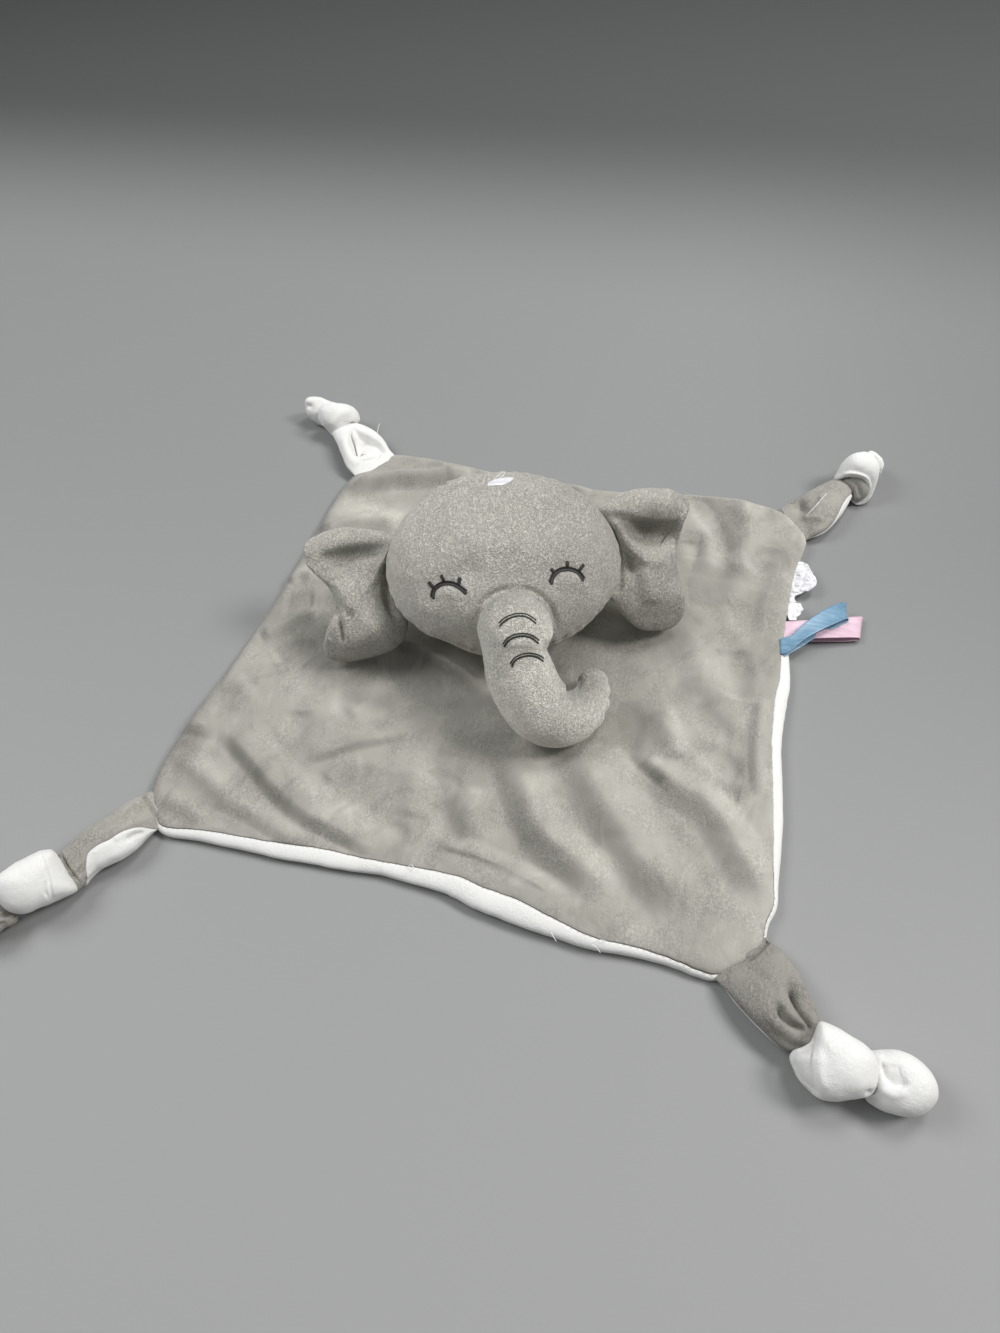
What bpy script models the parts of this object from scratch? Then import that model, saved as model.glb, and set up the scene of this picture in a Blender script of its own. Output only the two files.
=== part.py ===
"""Comfort blanket: a two-ply velour square with a stuffed animal head sewn on its middle.

Frame: origin on the underside of the backing, at the middle of the square. +X right,
+Y to the back, +Z up, metres. The blanket lies flat; its four corner strips are knotted.
"""

import math

import bmesh
import bpy
from mathutils import Matrix, Vector

for old in list(bpy.data.objects):
    bpy.data.objects.remove(old, do_unlink=True)

MM = 0.001

# ---------------------------------------------------------------- driving dimensions
SIDE = 250.0 * MM            # backing panel, edge to edge
TOP_SIDE = 247.2 * MM        # top panel, pulled in a little by the turned seam
CORNER_CUT = 14.0 * MM       # corner cut off each side, where a strip is sewn in
PLY = 2.2 * MM               # one ply of velour with its pile
PLY_GAP = 0.3 * MM           # between touching pieces
EDGE_ROUND = 0.6 * MM        # softened panel edge
TOP_Z = 2 * PLY + PLY_GAP    # upper face of the blanket
SEAM_R = 0.5 * MM            # edge seam thread, radius

HEAD_AT = Vector((-10.0, 14.5, 40.5)) * MM
HEAD_YAW = math.radians(20.6)
HEAD_PITCH = math.radians(20.0)
HEAD_A, HEAD_B, HEAD_C = 51.5 * MM, 42.5 * MM, 30.5 * MM   # half width, length, depth
SHELL = 1.5 * MM             # head fabric
NECK_R = 12.0 * MM           # ring of stitches that holds the head to the blanket
NECK_THREAD = 1.4 * MM

EAR_DROOP = math.radians(14.0)
EAR_TWIST = math.radians(9.0)
EAR_PLY = 1.2 * MM
EAR_FILL = 6.4 * MM

THREAD_R = 0.55 * MM         # embroidery satin stitch, half width

STRIP_ROOT, STRIP_END = 19.0 * MM, 14.0 * MM   # width of a corner strip
STRIP_PLY = 1.6 * MM
KNOT = (12.4 * MM, 11.6 * MM, 9.0 * MM)        # half sizes of a tied knot
TAIL = (9.6 * MM, 9.4 * MM, 6.4 * MM)          # half sizes of the free end

RIBBON_W = 12.0 * MM
RIBBON_T = 0.45 * MM

# ---------------------------------------------------------------- helpers
parts = bpy.data.collections.new("comfort_blanket")
tools = bpy.data.collections.new("cutters")
bpy.context.scene.collection.children.link(parts)
bpy.context.scene.collection.children.link(tools)
tools.hide_render = True

_mats = {}


def material(name, colour, rough):
    if name not in _mats:
        m = bpy.data.materials.new(name)
        m.use_nodes = True
        b = m.node_tree.nodes["Principled BSDF"]
        b.inputs["Base Color"].default_value = (*colour, 1.0)
        b.inputs["Roughness"].default_value = rough
        b.inputs["Metallic"].default_value = 0.0
        m.diffuse_color = (*colour, 1.0)
        _mats[name] = m
    return _mats[name]


GREY = ("grey_velour", (0.43, 0.41, 0.385), 0.95)
WHITE = ("white_velour", (0.86, 0.86, 0.84), 0.95)
FILL = ("polyester_fill", (0.9, 0.9, 0.88), 1.0)
CHARCOAL = ("charcoal_thread", (0.045, 0.05, 0.055), 0.5)
PALE = ("pale_thread", (0.62, 0.61, 0.58), 0.6)
BLUE = ("blue_satin", (0.17, 0.34, 0.50), 0.35)
PINK = ("pink_satin", (0.83, 0.52, 0.65), 0.35)
SATIN = ("white_satin", (0.88, 0.88, 0.9), 0.3)


def put(obj, mat, parent=None, world=None):
    """Into the parts collection, with its material, under its joint's empty."""
    if obj.name not in parts.objects:
        parts.objects.link(obj)
    obj.data.materials.clear()
    obj.data.materials.append(material(*mat))
    if parent is not None:
        obj.parent = parent
        obj.matrix_parent_inverse = parent.matrix_world.inverted()
    if world is not None:
        obj.matrix_basis = world
    return obj


def axis_empty(name, at, x_dir, z_dir=(0, 0, 1)):
    """An empty on a joint axis: its X lies along the hinge."""
    x = Vector(x_dir).normalized()
    y = Vector(z_dir).cross(x).normalized()
    z = x.cross(y)
    e = bpy.data.objects.new(name, None)
    e.empty_display_size = 0.01
    e.matrix_world = Matrix.Translation(Vector(at)) @ Matrix((x, y, z)).transposed().to_4x4()
    parts.objects.link(e)
    return e


def smooth(mesh, angle=50):
    mesh.shade_smooth()
    mesh.set_sharp_from_angle(angle=math.radians(angle))


def plate(name, outline, thick, z_mid, bevel=0.0):
    """A flat outline as a filled 2D curve, thick along Z."""
    c = bpy.data.curves.new(name, "CURVE")
    c.dimensions = "2D"
    c.fill_mode = "BOTH"
    s = c.splines.new("POLY")
    s.points.add(len(outline) - 1)
    for p, (x, y) in zip(s.points, outline):
        p.co = (x, y, 0, 1)
    s.use_cyclic_u = True
    c.extrude = thick / 2 - bevel
    c.bevel_depth = bevel
    c.bevel_resolution = 1
    c.offset = -bevel
    o = bpy.data.objects.new(name, c)
    o.location.z = z_mid
    return o


def mesh_of(obj):
    """The evaluated mesh of an object as a new welded object of the same name."""
    if obj.name not in tools.objects:
        tools.objects.link(obj)
    bpy.context.view_layer.update()
    graph = bpy.context.evaluated_depsgraph_get()
    mesh = bpy.data.meshes.new_from_object(obj.evaluated_get(graph))
    bm = bmesh.new()
    bm.from_mesh(mesh)
    bmesh.ops.remove_doubles(bm, verts=bm.verts, dist=0.00002)
    bm.to_mesh(mesh)
    bm.free()
    name, world = obj.name, obj.matrix_world.copy()
    bpy.data.objects.remove(obj, do_unlink=True)
    new = bpy.data.objects.new(name, mesh)
    new.matrix_world = world
    return new


def tube(name, points, radius, radii=None, caps=True, cyclic=False, res=1):
    """A wire or tube on a POLY spline; radii scale the bevel at each point."""
    c = bpy.data.curves.new(name, "CURVE")
    c.dimensions = "3D"
    c.fill_mode = "FULL"
    c.bevel_depth = radius
    c.bevel_resolution = res
    c.use_fill_caps = caps
    s = c.splines.new("POLY")
    s.points.add(len(points) - 1)
    for i, (p, q) in enumerate(zip(s.points, points)):
        p.co = (*q, 1)
        p.radius = 1.0 if radii is None else radii[i] / radius
    s.use_cyclic_u = cyclic
    return bpy.data.objects.new(name, c)


def catmull(points, per):
    """Points on a smooth curve through the given ones (any length of tuple)."""
    out = []
    n = len(points)
    for i in range(n - 1):
        p = [points[max(0, min(n - 1, i + k))] for k in (-1, 0, 1, 2)]
        for j in range(per):
            t = j / per
            out.append(tuple(
                0.5 * ((2 * b) + (c - a) * t + (2 * a - 5 * b + 4 * c - d) * t * t
                       + (3 * b - a - 3 * c + d) * t ** 3)
                for a, b, c, d in zip(*p)))
    out.append(tuple(points[-1]))
    return out


def relaxed(points, rounds):
    """Evens a path out, ends kept."""
    pts = [tuple(p) for p in points]
    for _ in range(rounds):
        pts = [pts[0]] + [
            tuple(0.25 * a + 0.5 * b + 0.25 * c for a, b, c in zip(pts[i - 1], pts[i], pts[i + 1]))
            for i in range(1, len(pts) - 1)] + [pts[-1]]
    return pts


# ---------------------------------------------------------------- blanket
def square(side, cut):
    """A square with cut corners, each cut's ends rounded by a short arc."""
    h = side / 2
    pts = []
    for k in range(4):
        a = math.radians(90 * k)
        rot = lambda x, y: (x * math.cos(a) - y * math.sin(a), x * math.sin(a) + y * math.cos(a))
        pts += [rot(h, h - cut - 3.0 * MM), rot(h - 0.9 * MM, h - cut + 0.2 * MM),
                rot(h - cut + 0.2 * MM, h - 0.9 * MM), rot(h - cut - 3.0 * MM, h)]
    return pts


backing = plate("blanket_backing_panel", square(SIDE, CORNER_CUT), PLY, PLY / 2, EDGE_ROUND)
put(backing, WHITE)
top = plate("blanket_top_panel", square(TOP_SIDE, CORNER_CUT), PLY, PLY + PLY_GAP + PLY / 2, EDGE_ROUND)
put(top, GREY)
seam_side = TOP_SIDE + 2 * (PLY_GAP + SEAM_R)
seam = tube("blanket_edge_seam_thread",
            [(x, y, PLY + PLY_GAP + SEAM_R) for x, y in square(seam_side, CORNER_CUT)],
            SEAM_R, cyclic=True, res=1)
put(seam, PALE)

# ---------------------------------------------------------------- head frame
HEAD = (Matrix.Translation(HEAD_AT) @ Matrix.Rotation(HEAD_YAW, 4, "Z")
        @ Matrix.Rotation(HEAD_PITCH, 4, "X"))
HX = (HEAD.to_3x3() @ Vector((1, 0, 0))).normalized()


def face(x, y, lift=0.0):
    """Point of the face at head-frame (x, y), lifted along its normal."""
    z = HEAD_C * math.sqrt(max(0.0, 1 - (x / HEAD_A) ** 2 - (y / HEAD_B) ** 2))
    n = Vector((x / HEAD_A ** 2, y / HEAD_B ** 2, z / HEAD_C ** 2)).normalized()
    return Vector((x, y, z)) + n * lift


# the lowest point of the head, over which the ring of stitches sits
down = HEAD.to_3x3().transposed() @ Vector((0, 0, -1))
low = Vector((down.x * HEAD_A ** 2, down.y * HEAD_B ** 2, down.z * HEAD_C ** 2))
low = low / math.sqrt((low.x / HEAD_A) ** 2 + (low.y / HEAD_B) ** 2 + (low.z / HEAD_C) ** 2)
LOW = HEAD @ low
NECK_AT = Vector((LOW.x, LOW.y, TOP_Z + PLY_GAP + NECK_THREAD))
BACKWARD = Vector((-math.sin(HEAD_YAW), math.cos(HEAD_YAW), 0))
NOD_AT = NECK_AT + BACKWARD * NECK_R + Vector((0, 0, NECK_THREAD))

turn = axis_empty("head_turn_axis", NECK_AT, (0, 0, 1), (1, 0, 0))
nod = axis_empty("head_nod_axis", NOD_AT, HX)

ring = tube("neck_stitch_ring",
            [(NECK_R * math.cos(math.radians(20 * i)), NECK_R * math.sin(math.radians(20 * i)), 0)
             for i in range(18)], NECK_THREAD, cyclic=True, res=2)
put(ring, PALE, turn, Matrix.Translation(NECK_AT))


def half_shell(name, sign):
    """Half of the head's skin: an open bowl with thickness, its rim at the side seam."""
    bm = bmesh.new()
    bmesh.ops.create_uvsphere(bm, u_segments=28, v_segments=14, radius=1.0)
    bmesh.ops.delete(bm, geom=[v for v in bm.verts if sign * v.co.z < -0.001], context="VERTS")
    for v in bm.verts:
        v.co = Vector((v.co.x * HEAD_A, v.co.y * HEAD_B, v.co.z * HEAD_C + sign * 0.4 * MM))
    mesh = bpy.data.meshes.new(name)
    bm.to_mesh(mesh)
    bm.free()
    smooth(mesh)
    o = bpy.data.objects.new(name, mesh)
    s = o.modifiers.new("skin", "SOLIDIFY")
    s.thickness = SHELL
    s.offset = -1
    return o


put(half_shell("head_front_panel", 1), GREY, nod, HEAD)
put(half_shell("head_back_panel", -1), GREY, nod, HEAD)

bm = bmesh.new()
bmesh.ops.create_uvsphere(bm, u_segments=28, v_segments=14, radius=1.0)
inner = SHELL + 0.6 * MM
for v in bm.verts:
    v.co = Vector((v.co.x * (HEAD_A - inner), v.co.y * (HEAD_B - inner), v.co.z * (HEAD_C - inner)))
mesh = bpy.data.meshes.new("head_stuffing")
bm.to_mesh(mesh)
bm.free()
smooth(mesh)
put(bpy.data.objects.new("head_stuffing", mesh), FILL, nod, HEAD)

lift = THREAD_R + 0.35 * MM
seam_pts = []
for i in range(28):
    t = 2 * math.pi * i / 28
    n = Vector((math.cos(t) / HEAD_A, math.sin(t) / HEAD_B, 0)).normalized()
    seam_pts.append(Vector((HEAD_A * math.cos(t), HEAD_B * math.sin(t), 0)) + n * lift)
put(tube("head_side_seam_thread", seam_pts, THREAD_R, cyclic=True, res=1), PALE, nod, HEAD)


# crown tuft: the small oval patch of stitches on top of the head
def patch(name, x, y, half_w, half_l, thick, mat):
    bm = bmesh.new()
    bmesh.ops.create_cone(bm, cap_ends=True, segments=20, radius1=1.0, radius2=0.8, depth=1.0)
    for v in bm.verts:
        v.co = Vector((v.co.x * half_w, v.co.y * half_l, (v.co.z + 0.5) * thick))
    mesh = bpy.data.meshes.new(name)
    bm.to_mesh(mesh)
    bm.free()
    smooth(mesh)
    at = face(x, y, 0.35 * MM)
    n = (face(x, y, 1.0) - face(x, y, 0.0)).normalized()
    turn_to = n.to_track_quat("Z", "X").to_matrix().to_4x4()
    return put(bpy.data.objects.new(name, mesh), mat, nod, HEAD @ Matrix.Translation(at) @ turn_to)


patch("crown_patch", 0.6 * MM, 30.4 * MM, 2.0 * MM, 4.6 * MM, 0.9 * MM, SATIN)


# ---------------------------------------------------------------- closed eyes
def united(name, tubes):
    """Several wires joined by Boolean union into one body."""
    base = mesh_of(tubes[0])
    base.name = name
    if base.name not in tools.objects:
        tools.objects.link(base)
    for t in tubes[1:]:
        other = mesh_of(t)
        tools.objects.link(other)
        other.display_type = "WIRE"
        other.hide_render = True
        m = base.modifiers.new("join_" + other.name, "BOOLEAN")
        m.operation = "UNION"
        m.object = other
        m.solver = "EXACT"
    bpy.context.view_layer.update()
    graph = bpy.context.evaluated_depsgraph_get()
    mesh = bpy.data.meshes.new_from_object(base.evaluated_get(graph))
    for m in list(base.modifiers):
        other = m.object
        base.modifiers.remove(m)
        bpy.data.objects.remove(other, do_unlink=True)
    old_name = base.name
    bpy.data.objects.remove(base, do_unlink=True)
    return bpy.data.objects.new(old_name, mesh)


def eye(name, side):
    arc = []
    for i in range(11):
        t = i / 10
        x = 16.8 + (30.7 - 16.8) * t
        y = -20.9 + 1.8 * t + 5.9 * (1 - (2 * t - 1) ** 2)
        arc.append(face(side * x * MM, y * MM, lift))
    wires = [tube(name + "_arc", arc, THREAD_R, res=1)]
    for k, (x0, y0, x1, y1) in enumerate(
            [(20.0, -17.2, 18.9, -12.6), (24.6, -14.8, 25.6, -10.2), (29.2, -16.8, 32.4, -13.2)]):
        n = 4
        wires.append(tube(f"{name}_lash{k}", [
            face(side * (x0 + (x1 - x0) * j / n) * MM, (y0 + (y1 - y0) * j / n) * MM, lift)
            for j in range(n + 1)], THREAD_R * 0.93, res=1))
    return put(united(name, wires), CHARCOAL, nod, HEAD)


eye("eye_left", -1)
eye("eye_right", 1)

# ---------------------------------------------------------------- trunk
# centreline in the head frame and radius, mm, from the face down to the curled tip
TRUNK = [
    (1.5, -29.9, 29.5, 5.5), (1.0, -33.2, 29.9, 7.4), (0.3, -37.9, 28.7, 9.0),
    (-0.3, -43.7, 26.0, 10.6), (-0.1, -49.6, 21.4, 11.8), (1.7, -56.2, 11.0, 12.0),
    (6.0, -63.2, 2.6, 11.5), (12.8, -69.6, 1.8, 11.0), (20.6, -71.2, 1.5, 10.4),
    (27.2, -67.0, -0.6, 9.8), (30.8, -60.3, -3.8, 9.2), (31.4, -54.8, -6.4, 7.8),
    (31.0, -51.4, -7.8, 4.6)]
TRUNK_SKIN = 1.3 * MM
path = relaxed(catmull([tuple(c * MM for c in p) for p in TRUNK], 2), 2)
TRUNK_HINGE = Vector((0.5, -24.5, 26.5)) * MM
trunk_axis = axis_empty("trunk_lift_axis", HEAD @ TRUNK_HINGE, HX)

core = [p[:3] for p in path]
stuff = tube("trunk_stuffing", core[:-1], 10 * MM,
             [max(p[3] - TRUNK_SKIN - 0.5 * MM, 0.4 * MM) for p in path[:-1]], res=3)
put(stuff, FILL, trunk_axis, HEAD)

# the skin: an outer tube less an inner one on the same centreline, open at the root
last, before = Vector(core[-1]), Vector(core[-2])
along = (last - before).normalized()
first = Vector(core[0]) - (Vector(core[1]) - Vector(core[0])).normalized() * 3.0 * MM
outer = mesh_of(tube("trunk_cover", core + [tuple(last + along * 1.8 * MM)], 10 * MM,
                     [p[3] for p in path] + [2.2 * MM], res=3))
hollow = mesh_of(tube("trunk_hollow", [tuple(first)] + core[1:], 10 * MM,
                      [path[0][3] - TRUNK_SKIN] + [p[3] - TRUNK_SKIN for p in path[1:]], res=3))
for o in (outer, hollow):
    tools.objects.link(o)
hollow.display_type = "WIRE"
hollow.hide_render = True
cut = outer.modifiers.new("hollow", "BOOLEAN")
cut.operation = "DIFFERENCE"
cut.object = hollow
bpy.context.view_layer.update()
skin_mesh = bpy.data.meshes.new_from_object(
    outer.evaluated_get(bpy.context.evaluated_depsgraph_get()))
for o in (outer, hollow):
    bpy.data.objects.remove(o, do_unlink=True)
smooth(skin_mesh)
put(bpy.data.objects.new("trunk_cover", skin_mesh), GREY, trunk_axis, HEAD)


def wrinkle(name, at, spread, rise):
    """A satin-stitch arc across the front of the trunk, bowed towards its root."""
    pts = []
    for i in range(11):
        t = 2 * i / 10 - 1
        k = at - rise * (1 - t * t)
        j = int(k)
        f = k - j
        p = [a + (b - a) * f for a, b in zip(path[j], path[j + 1])]
        tan = (Vector(path[j + 1][:3]) - Vector(path[j][:3])).normalized()
        out = Vector((0, -0.33, 0.94))
        out = (out - tan * out.dot(tan)).normalized()
        across = tan.cross(out)
        a = math.radians(spread) * t
        d = (out * math.cos(a) - across * math.sin(a)).normalized()
        pts.append(Vector(p[:3]) + d * (p[3] + THREAD_R + 0.45 * MM))
    return put(tube(name, pts, THREAD_R, res=1), CHARCOAL, trunk_axis, HEAD)


wrinkle("trunk_wrinkle_1", 4.3, 50, 0.9)
wrinkle("trunk_wrinkle_2", 6.4, 46, 0.9)
wrinkle("trunk_wrinkle_3", 8.3, 38, 0.7)

# ---------------------------------------------------------------- ears
# outline in the ear's plane, mm: out from the head, and along it
EAR = [(0, -23), (0, -8), (0, 8), (0, 20), (5, 25), (13, 28.5), (23, 30), (33, 29), (39, 25),
       (40, 19), (37, 11), (31, 2), (28, -5), (28.5, -13), (31, -20), (32, -28), (28, -34),
       (20, -37), (11, -36), (4, -32)]


def ear(side, tag):
    root = HEAD @ Vector((side * (HEAD_A + 1.2 * MM), -3.0 * MM, 1.5 * MM))
    x = HEAD.to_3x3() @ Vector((side * math.cos(EAR_DROOP), 0, -math.sin(EAR_DROOP)))
    y = HEAD.to_3x3() @ Vector((0, math.cos(EAR_TWIST), math.sin(EAR_TWIST)))
    y = (y - x * y.dot(x)).normalized()
    z = x.cross(y) if side > 0 else y.cross(x)
    rot = Matrix((x, y, z)).transposed()
    half = EAR_FILL / 2 + PLY_GAP + EAR_PLY
    hinge = root + z * half
    emp = axis_empty(f"ear_{tag}_flap_axis", hinge, y)
    outline = [(a * MM, b * MM) for a, b in EAR]
    if side < 0:
        # a left-handed frame is a mirror, so the outline is mirrored instead
        rot = Matrix((-x, y, z)).transposed()
        outline = [(-a, b) for a, b in reversed(outline)]
    world = Matrix.Translation(root) @ rot.to_4x4()
    mid = EAR_FILL / 2 + PLY_GAP + EAR_PLY / 2
    for name, thick, z_mid, inset, mat in (
            (f"ear_{tag}_front_ply", EAR_PLY, mid, 0.0, GREY),
            (f"ear_{tag}_wadding", EAR_FILL, 0.0, 1.2 * MM, FILL),
            (f"ear_{tag}_back_ply", EAR_PLY, -mid, 0.0, GREY)):
        cx = side * 17 * MM
        pts = [(cx + (a - cx) * (1 - inset / (18 * MM)), b * (1 - inset / (34 * MM)))
               for a, b in outline]
        o = plate(name, pts, thick, 0.0, 0.3 * MM if thick < 2 * MM else 1.6 * MM)
        put(o, mat, emp, world @ Matrix.Translation((0, 0, z_mid)))


ear(-1, "left")
ear(1, "right")


# ---------------------------------------------------------------- knotted corner strips
def corner(tag, sx, sy, knot_xy, tail_xy):
    """A two-ply strip sewn in the corner cut, its tied knot and its free end."""
    base = Vector((sx, sy, 0)) * (SIDE / 2 - CORNER_CUT / 2)
    knot = Vector((knot_xy[0], knot_xy[1], 0)) * MM
    tail = Vector((tail_xy[0], tail_xy[1], 0)) * MM
    d = (knot - base).normalized()
    corner_n = Vector((sx, sy, 0)).normalized()
    skew = math.acos(max(-1, min(1, d.dot(corner_n))))
    root = base + d * (0.7 * MM + STRIP_ROOT / 2 * math.sin(skew))
    z_top = 2 * STRIP_PLY + PLY_GAP
    side_dir = Vector((0, 0, 1)).cross(d)
    emp = axis_empty(f"corner_{tag}_axis", root + Vector((0, 0, z_top)), side_dir)
    world = Matrix.Translation(root) @ Matrix((d, side_dir, Vector((0, 0, 1)))).transposed().to_4x4()
    length = (knot - root).length - KNOT[0] * 0.84
    n = 6
    outline = []
    for i in range(n + 1):
        t = i / n
        w = STRIP_ROOT + (STRIP_END - STRIP_ROOT) * (3 * t * t - 2 * t ** 3)
        outline.append((length * t, -w / 2))
    outline += [(x, -y) for x, y in reversed(outline)]
    put(plate(f"corner_{tag}_white_ply", outline, STRIP_PLY, 0, 0.3 * MM), WHITE, emp,
        world @ Matrix.Translation((0, 0, STRIP_PLY / 2)))
    put(plate(f"corner_{tag}_grey_ply", outline, STRIP_PLY, 0, 0.3 * MM), GREY, emp,
        world @ Matrix.Translation((0, 0, STRIP_PLY * 1.5 + PLY_GAP)))

    def blob(name, at, toward, half, mat):
        x = toward.normalized()
        y = Vector((0, 0, 1)).cross(x)
        bm = bmesh.new()
        bmesh.ops.create_uvsphere(bm, u_segments=14, v_segments=8, radius=1.0)
        for v in bm.verts:
            v.co = Vector((v.co.x * half[0], v.co.y * half[1], v.co.z * half[2]))
        mesh = bpy.data.meshes.new(name)
        bm.to_mesh(mesh)
        bm.free()
        smooth(mesh)
        m = (Matrix.Translation(at + Vector((0, 0, half[2])))
             @ Matrix((x, y, Vector((0, 0, 1)))).transposed().to_4x4())
        put(bpy.data.objects.new(name, mesh), mat, emp, m)

    t_dir = (tail - knot).normalized()
    blob(f"corner_{tag}_knot", knot, t_dir, KNOT, WHITE)
    blob(f"corner_{tag}_tail", knot + t_dir * (KNOT[0] + TAIL[0] + 0.35 * MM), t_dir, TAIL,
         GREY if tag == "front_left" else WHITE)
    return emp


corner("front_left", -1, -1, (-146.0, -157.0), (-153.0, -176.0))
corner("front_right", 1, -1, (145.2, -146.8), (166.0, -147.6))
corner("back_left", -1, 1, (-145.0, 139.5), (-166.0, 148.0))
corner("back_right", 1, 1, (146.0, 148.0), (156.0, 158.0))


# ---------------------------------------------------------------- ribbons and care label
LOOP_X = SIDE / 2 + 0.8 * MM
loop_axis = axis_empty("ribbon_flap_axis", (LOOP_X, 40 * MM, 7.0 * MM), (0, 1, 0))


def loop(name, y_mid, reach, slope, z_low, gap, mat, width):
    """A folded ribbon: two layers joined by a bend at the tip, sewn in at the blanket's edge."""
    path = [(0.0, z_low + gap)]
    n = 8
    for i in range(1, n):
        t = i / n
        path.append((reach * t, z_low + gap))
    for i in range(7):
        a = math.radians(90 - 30 * i)
        path.append((reach + math.cos(a) * gap / 2, z_low + gap / 2 + math.sin(a) * gap / 2))
    for i in range(n - 1, -1, -1):
        path.append((reach * i / n, z_low))
    bm = bmesh.new()
    verts = [bm.verts.new((LOOP_X + x, y_mid - width / 2 + slope * x, z)) for x, z in path]
    edges = [bm.edges.new((a, b)) for a, b in zip(verts, verts[1:])]
    made = bmesh.ops.extrude_edge_only(bm, edges=edges)
    for g in made["geom"]:
        if isinstance(g, bmesh.types.BMVert):
            g.co.y += width
    bmesh.ops.recalc_face_normals(bm, faces=bm.faces)
    mesh = bpy.data.meshes.new(name)
    bm.to_mesh(mesh)
    bm.free()
    o = bpy.data.objects.new(name, mesh)
    s = o.modifiers.new("weave", "SOLIDIFY")
    s.thickness = RIBBON_T
    s.offset = 0
    s.use_even_offset = True
    return put(o, mat, loop_axis if "ribbon" in name else label_axis, Matrix.Identity(4))


loop("ribbon_pink", 41.0 * MM, 25.0 * MM, 0.22, 0.8 * MM, 1.9 * MM, PINK, RIBBON_W)
loop("ribbon_blue", 30.0 * MM, 18.6 * MM, 1.32, 3.7 * MM, 2.2 * MM, BLUE, 10.4 * MM)
label_axis = axis_empty("label_flap_axis", (LOOP_X, 65 * MM, 4.0 * MM), (0, 1, 0))
loop("care_label", 67.4 * MM, 5.2 * MM, 0.0, 0.9 * MM, 1.9 * MM, SATIN, 33.0 * MM)
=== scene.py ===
import math

import bmesh
import bpy
import numpy as np
from mathutils import Matrix, Vector
from mathutils.bvhtree import BVHTree
from mathutils.kdtree import KDTree

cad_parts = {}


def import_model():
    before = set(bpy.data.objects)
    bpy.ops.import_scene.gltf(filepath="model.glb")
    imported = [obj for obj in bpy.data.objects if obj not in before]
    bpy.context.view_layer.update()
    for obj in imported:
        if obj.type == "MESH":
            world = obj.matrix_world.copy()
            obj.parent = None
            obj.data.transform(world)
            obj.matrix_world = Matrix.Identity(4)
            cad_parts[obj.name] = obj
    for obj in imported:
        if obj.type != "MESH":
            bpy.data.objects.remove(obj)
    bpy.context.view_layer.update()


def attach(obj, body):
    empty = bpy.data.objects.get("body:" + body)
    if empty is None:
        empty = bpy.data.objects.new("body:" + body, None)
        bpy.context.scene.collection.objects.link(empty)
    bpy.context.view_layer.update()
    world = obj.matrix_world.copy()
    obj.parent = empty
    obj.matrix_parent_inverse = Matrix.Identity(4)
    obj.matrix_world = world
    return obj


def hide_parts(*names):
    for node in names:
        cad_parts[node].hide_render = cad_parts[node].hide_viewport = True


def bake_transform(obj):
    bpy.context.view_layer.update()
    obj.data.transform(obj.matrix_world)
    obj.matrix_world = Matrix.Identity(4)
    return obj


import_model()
MM = 0.001
Z = np.array([0.0, 0.0, 1.0])

# ================================================================ camera
AZ, EL, ROLL = math.radians(19.53), math.radians(52.3), math.radians(-4.68)
LOOK, DIST, F_PX = np.array([-0.0057, -0.0117, 0.0]), 0.3709, 800.0
BACK = np.array([math.sin(AZ) * math.cos(EL), -math.cos(AZ) * math.cos(EL), math.sin(EL)])
EYE = LOOK + BACK * DIST
FWD = -BACK
_r = np.cross(FWD, Z); _r /= np.linalg.norm(_r)
_u = np.cross(_r, FWD)
RIGHT = math.cos(ROLL) * _r + math.sin(ROLL) * _u
UP = -math.sin(ROLL) * _r + math.cos(ROLL) * _u

cam_data = bpy.data.cameras.new("camera")
cam_data.lens, cam_data.sensor_width, cam_data.sensor_fit = F_PX / 1333 * 36, 36, "AUTO"
cam_data.clip_start, cam_data.clip_end = 0.01, 20
cam = bpy.data.objects.new("camera", cam_data)
bpy.context.scene.collection.objects.link(cam)
cam.matrix_world = Matrix([[RIGHT[i], UP[i], -FWD[i], EYE[i]] for i in range(3)] + [[0, 0, 0, 1]])
bpy.context.scene.camera = cam


def ray(px, py):
    d = FWD + RIGHT * (px - 500) / F_PX - UP * (py - 666.5) / F_PX
    return d / np.linalg.norm(d)


def on_plane(px, py, point, normal):
    d = ray(px, py)
    return EYE + d * (((point - EYE) @ normal) / (d @ normal))


# ================================================================ helpers
_lat = {}


def noise(p, size, seed):
    """Smooth noise in -1..1 at points p (n,3), features of about `size`."""
    if seed not in _lat:
        _lat[seed] = np.random.default_rng(seed).uniform(-1, 1, (32, 32, 32))
    lat = _lat[seed]
    q = np.asarray(p, float) / size + 0.371 * seed
    i = np.floor(q).astype(int)
    f = q - i
    f = f * f * f * (f * (f * 6 - 15) + 10)
    a, b = i % 32, (i + 1) % 32
    out = 0.0
    for dx in (0, 1):
        for dy in (0, 1):
            for dz in (0, 1):
                w = ((f[:, 0] if dx else 1 - f[:, 0]) * (f[:, 1] if dy else 1 - f[:, 1])
                     * (f[:, 2] if dz else 1 - f[:, 2]))
                out = out + w * lat[(b if dx else a)[:, 0], (b if dy else a)[:, 1], (b if dz else a)[:, 2]]
    return out


def fbm(p, size, seed, octaves=3, gain=0.5):
    out, amp, norm = 0.0, 1.0, 0.0
    for k in range(octaves):
        out = out + amp * noise(p, size / 2 ** k, seed + k)
        norm += amp
        amp *= gain
    return out / norm


def step(x, a, b):
    t = np.clip((np.asarray(x, float) - a) / (b - a), 0, 1)
    return t * t * (3 - 2 * t)


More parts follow.
